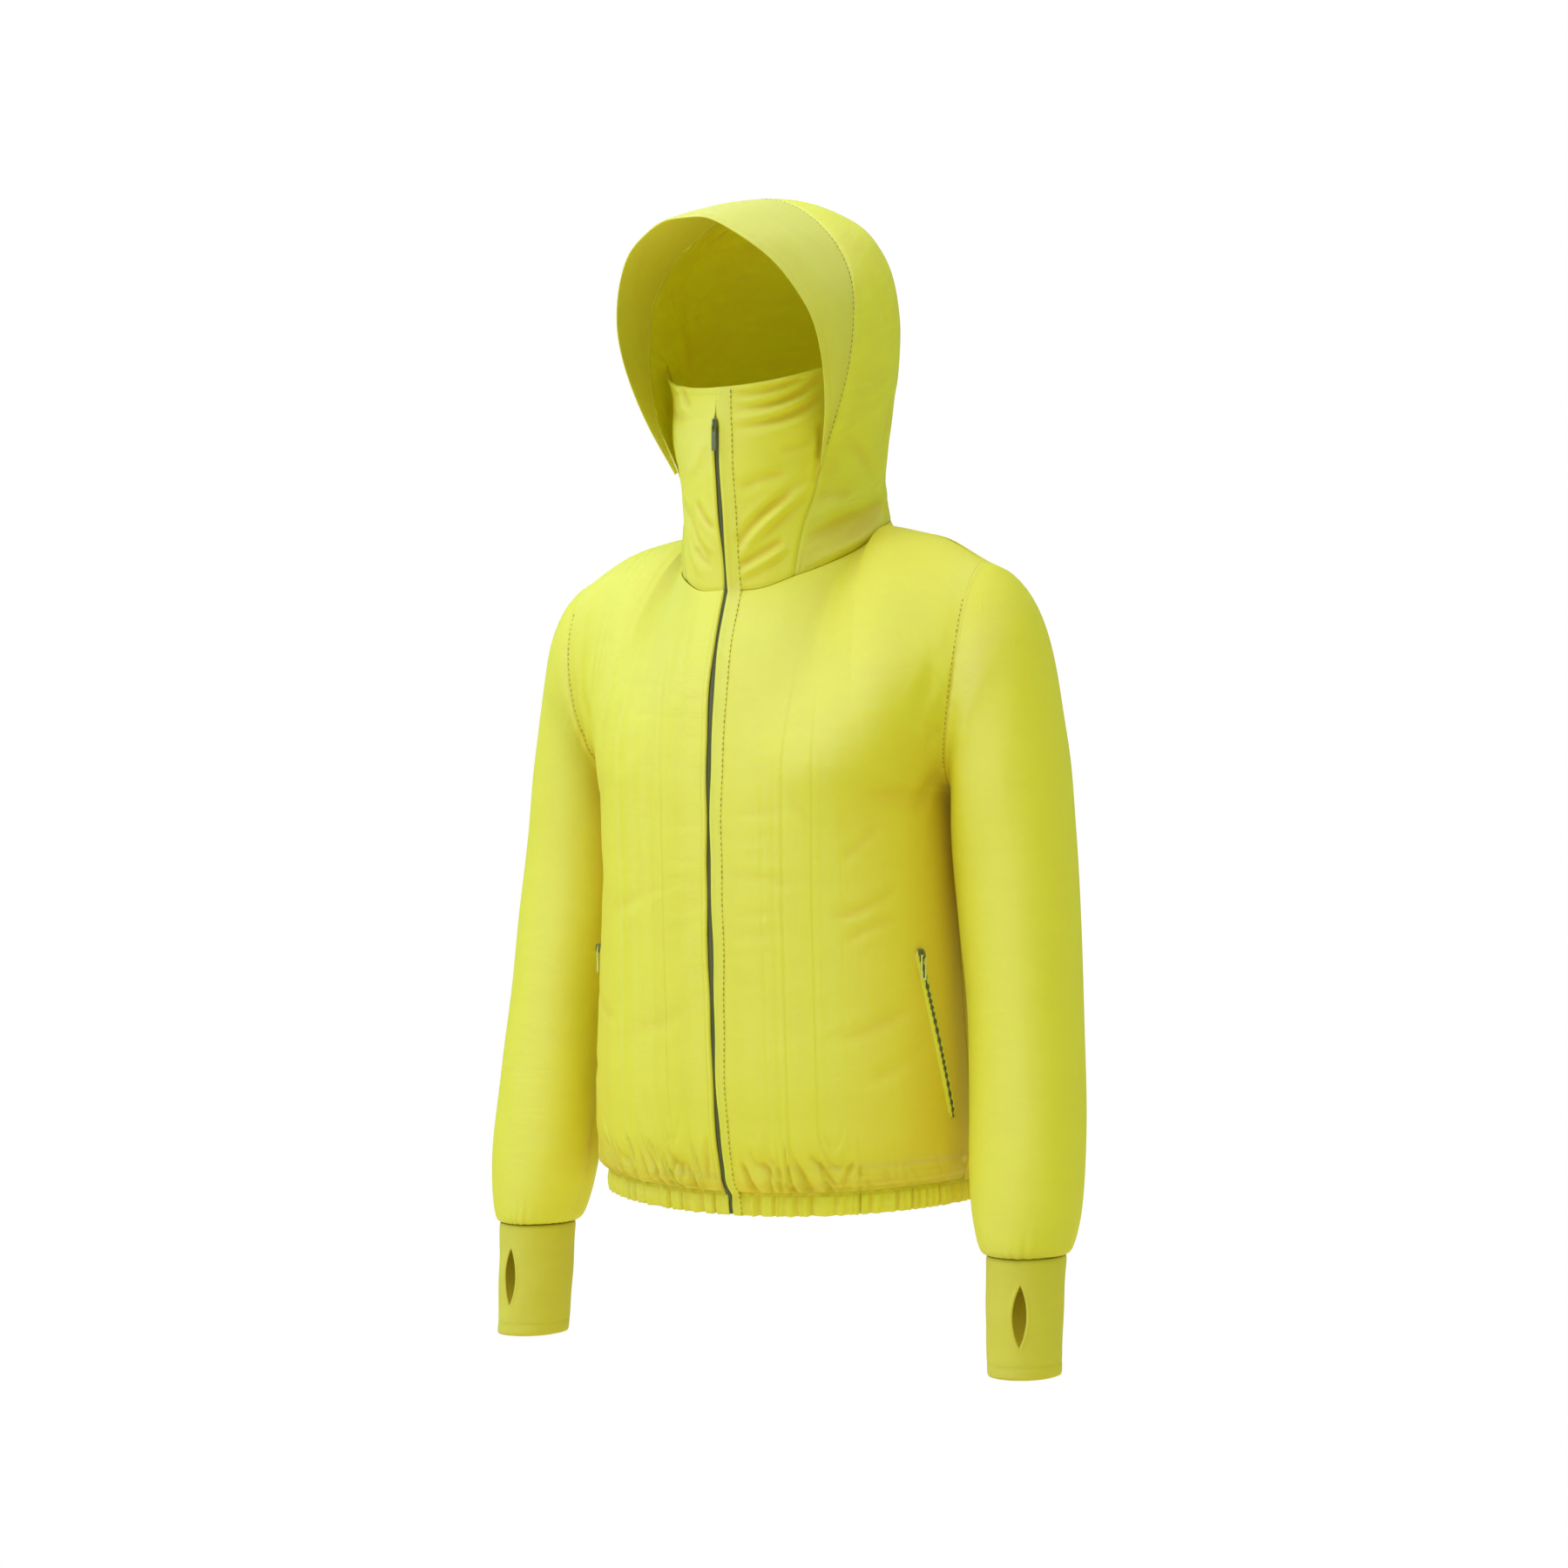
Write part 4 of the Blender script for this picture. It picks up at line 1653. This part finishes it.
def addTape(name, line, out, half, lift):
    offsets = half * np.array([-1, -0.6, -0.2, 0.2, 0.6, 1])
    mesh = skinMesh(name, ribbon(line, out, offsets, lift * np.ones(len(offsets))))
    addPiece(name, mesh, tapeFinish, "zip_coil", thickness=0.4 * mm)


def addZips():
    line, out = zipLine()
    addTape("front_zip_tape", line, out, zipLook["tapeHalf"], -1.3 * mm)
    teeth = zipTeeth(line, out, zipLook["tooth"], zipLook["toothOffset"], -zipLook["sink"])
    addBeads("front_zip_coil", teeth, coilFinish, "zip_coil", ("front_zip",))
    for side in ("left", "right"):
        line, out = pocketLine(sided(walls["front_" + side], side))
        if side == "right":
            line, out = line * flip, out * flip
        name = "pocket_zip_" + side
        addTape(name + "_tape", line, out, zipLook["pocketTapeHalf"], 0.45 * mm)
        teeth = zipTeeth(line, out, zipLook["pocketTooth"], zipLook["pocketOffset"], zipLook["pocketLift"])
        addBeads(name + "_coil", teeth, coilFinish, "zip_coil", (name,))


threadLook = {  # from one stitch to the next, and a stitch's own size
    "fine": (3.1 * mm, (2.3 * mm, 0.42 * mm, 0.36 * mm)),
    "bold": (4.8 * mm, (3.0 * mm, 1.10 * mm, 0.90 * mm)),
    "lift": 0.08 * mm,
}


def stitchesAlong(line, out, look="fine", **other):
    return beadsAlong(line, out, *threadLook[look], lift=threadLook["lift"], **other)


def seamStitches(piece, edge, inset, look="fine", **other):
    return stitchesAlong(*insetLine(walls[piece], edge, inset), look, **other)


def pocketStitches(side):  # a row on each side of the pocket's zip
    line, out = pocketLine(sided(walls["front_" + side], side))
    rows = [stitchesAlong(line, out, offset=offset) for offset in (-4.4 * mm, 4.4 * mm)]
    for row in rows:
        row["place"] += 0.25 * mm * row["out"]
        if side == "right":
            row.update({key: row[key] * flip for key in ("place", "way", "out")})
    return rows


def addStitches():
    tips = {"start": 20 * mm, "end": 20 * mm}  # left free at the brim's tips
    gold = [seamStitches("placket", "right", 1.2 * mm, "bold")]
    sets = []
    for side in ("left", "right"):
        far = otherSide[side]
        sets.append(seamStitches("mask_" + side, "top", 7 * mm))
        sets.append(seamStitches("mask_" + side, far, 2.6 * mm))
        sets.append(seamStitches("mask_" + side, "bottom", 2.8 * mm))
        sets.append(seamStitches("hood_" + side, "bottom", 2.8 * mm))
        if side == "right":
            sets.append(seamStitches("front_right", "right", 6 * mm))
        gold.append(seamStitches("front_" + side, far, 2.0 * mm, "bold", start=385 * mm, end=70 * mm))
        sets += pocketStitches(side)
        sets.append(seamStitches("cuff_" + side, "bottom", cuffCut["hemLine"]))
    sets.append(seamStitches("hood_brim", "bottom", brimCut["hemLine"], **tips))
    sets.append(seamStitches("hem_band", "top", 2.6 * mm))
    addBeads("stitches", sets, threadFinish, "shell_cloth", seed=4, jitter=0.05)
    addBeads("gold_stitches", gold, goldThread, "shell_cloth", seed=6, jitter=0.25)
    seam = [seamStitches("hood_brim", "top", 2.4 * mm, "bold", **tips)]
    addBeads("brim_stitches", seam, brimThread, "brim_cloth", seed=5, jitter=0.2)


def finishHardware():  # the sliders and pulls keep their CAD shapes, with finer edges
    for name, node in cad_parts.items():
        if not name.endswith(("slider", "pull")):
            continue
        loop = name.startswith("pocket") and name.endswith("pull")
        for slot in node.material_slots:
            slot.material = loopFinish if loop else sliderFinish
        weld = node.modifiers.new("Weld", "WELD")
        weld.merge_threshold = 0.005 * mm
        bevel = node.modifiers.new("Edges", "BEVEL")
        bevel.width = 0.15 * mm
        bevel.segments = 2
        bevel.limit_method = "ANGLE"


addZips()
addStitches()
finishHardware()
print("zips and stitches made")


# Stage, light and camera


studio = {
    "bodyAxisRight": 5 * mm,  # how far the jacket's axis lies right of the picture's middle
    "azimuth": math.radians(28),
    "distance": 2.8,
    "height": -0.283,
    "tilt": math.atan(60 / 3556),
    "lens": 71.1,
    "floor": -1.36,
    "floorHalf": 8,
    "lampsAim": -0.2,  # the height they point at
    "sky": 0.515,
    "skyColour": (0.70, 1.0, 0.48),
    "floorShade": 0.38,  # how much the floor throws back, whatever the camera sees of it
    "floorGlow": (0.66, 0.59, 0.14),  # fill from below, warm as the cloth itself
}


def addCamera():
    camera = bpy.data.objects.new("camera", bpy.data.cameras.new("camera"))
    bpy.context.scene.collection.objects.link(camera)
    camera.data.lens = studio["lens"]
    camera.data.sensor_width = 36
    a = studio["azimuth"]
    right = Vector((math.cos(a), math.sin(a), 0))
    ahead = Vector((-math.sin(a), math.cos(a), 0))
    camera.location = Vector((0, 0, studio["height"])) - ahead * studio["distance"]
    camera.location -= right * studio["bodyAxisRight"]
    look = ahead * math.cos(studio["tilt"]) + Vector((0, 0, math.sin(studio["tilt"])))
    camera.rotation_mode = "QUATERNION"
    camera.rotation_quaternion = look.to_track_quat("-Z", "Y")
    bpy.context.scene.camera = camera


lamps = {  # azimuth runs from the jacket's front towards its left
    "key": {
        "azimuth": -50,
        "elevation": 46,
        "distance": 3.0,
        "size": 2.4,
        "power": 120,
        "colour": (0.32, 0.41, 1.0),
    },
    "top": {
        "azimuth": 20,
        "elevation": 70,
        "distance": 3.0,
        "size": 2.2,
        "power": 90,
        "colour": (0.57, 0.50, 1.0),
    },
}


def addLight(name, azimuth, elevation, distance, size, power, colour):
    light = bpy.data.lights.new(name, "AREA")
    light.energy = power
    light.size = size
    light.color = colour
    lamp = bpy.data.objects.new(name, light)
    bpy.context.scene.collection.objects.link(lamp)
    a, e = math.radians(azimuth), math.radians(elevation)
    back = Vector((math.sin(a) * math.cos(e), -math.cos(a) * math.cos(e), math.sin(e)))
    lamp.location = Vector((0, 0, studio["lampsAim"])) + back * distance
    lamp.rotation_mode = "QUATERNION"
    lamp.rotation_quaternion = (-back).to_track_quat("-Z", "Y")


def showByCamera(tree, unseen, seen, output):  # the camera sees plain white, the jacket gets its own light
    path = tree.nodes.new("ShaderNodeLightPath")
    mix = tree.nodes.new("ShaderNodeMixShader")
    tree.links.new(path.outputs["Is Camera Ray"], mix.inputs[0])
    tree.links.new(unseen, mix.inputs[1])
    tree.links.new(seen, mix.inputs[2])
    tree.links.new(mix.outputs[0], tree.nodes[output].inputs["Surface"])


def addStage():
    mesh = bpy.data.meshes.new("floor")
    ways = ((-1, -1), (1, -1), (1, 1), (-1, 1))
    corners = [(x * studio["floorHalf"], y * studio["floorHalf"], studio["floor"]) for x, y in ways]
    mesh.from_pydata(corners, [], [(0, 1, 2, 3)])
    floor = bpy.data.objects.new("floor", mesh)
    bpy.context.scene.collection.objects.link(floor)
    pale = bpy.data.materials.new("paleFloor")
    pale.use_nodes = True
    shader = pale.node_tree.nodes["Principled BSDF"]
    shader.inputs["Base Color"].default_value = (*[studio["floorShade"]] * 3, 1)
    shader.inputs["Roughness"].default_value = 0.9
    shader.inputs["Emission Color"].default_value = (*studio["floorGlow"], 1)
    shader.inputs["Emission Strength"].default_value = 1.0
    seenFloor = pale.node_tree.nodes.new("ShaderNodeEmission")
    showByCamera(pale.node_tree, shader.outputs[0], seenFloor.outputs[0], "Material Output")
    mesh.materials.append(pale)
    world = bpy.data.worlds.new("studio")
    bpy.context.scene.world = world
    world.use_nodes = True
    tree = world.node_tree
    seen = tree.nodes["Background"]
    seen.inputs["Color"].default_value = (1, 1, 1, 1)
    light = tree.nodes.new("ShaderNodeBackground")
    light.inputs["Color"].default_value = (*studio["skyColour"], 1)
    light.inputs["Strength"].default_value = studio["sky"]
    showByCamera(tree, light.outputs[0], seen.outputs[0], "World Output")
    bpy.context.scene.view_settings.view_transform = "Standard"


addCamera()
addStage()
for name, look in lamps.items():
    addLight(name, **look)
print("stage made")
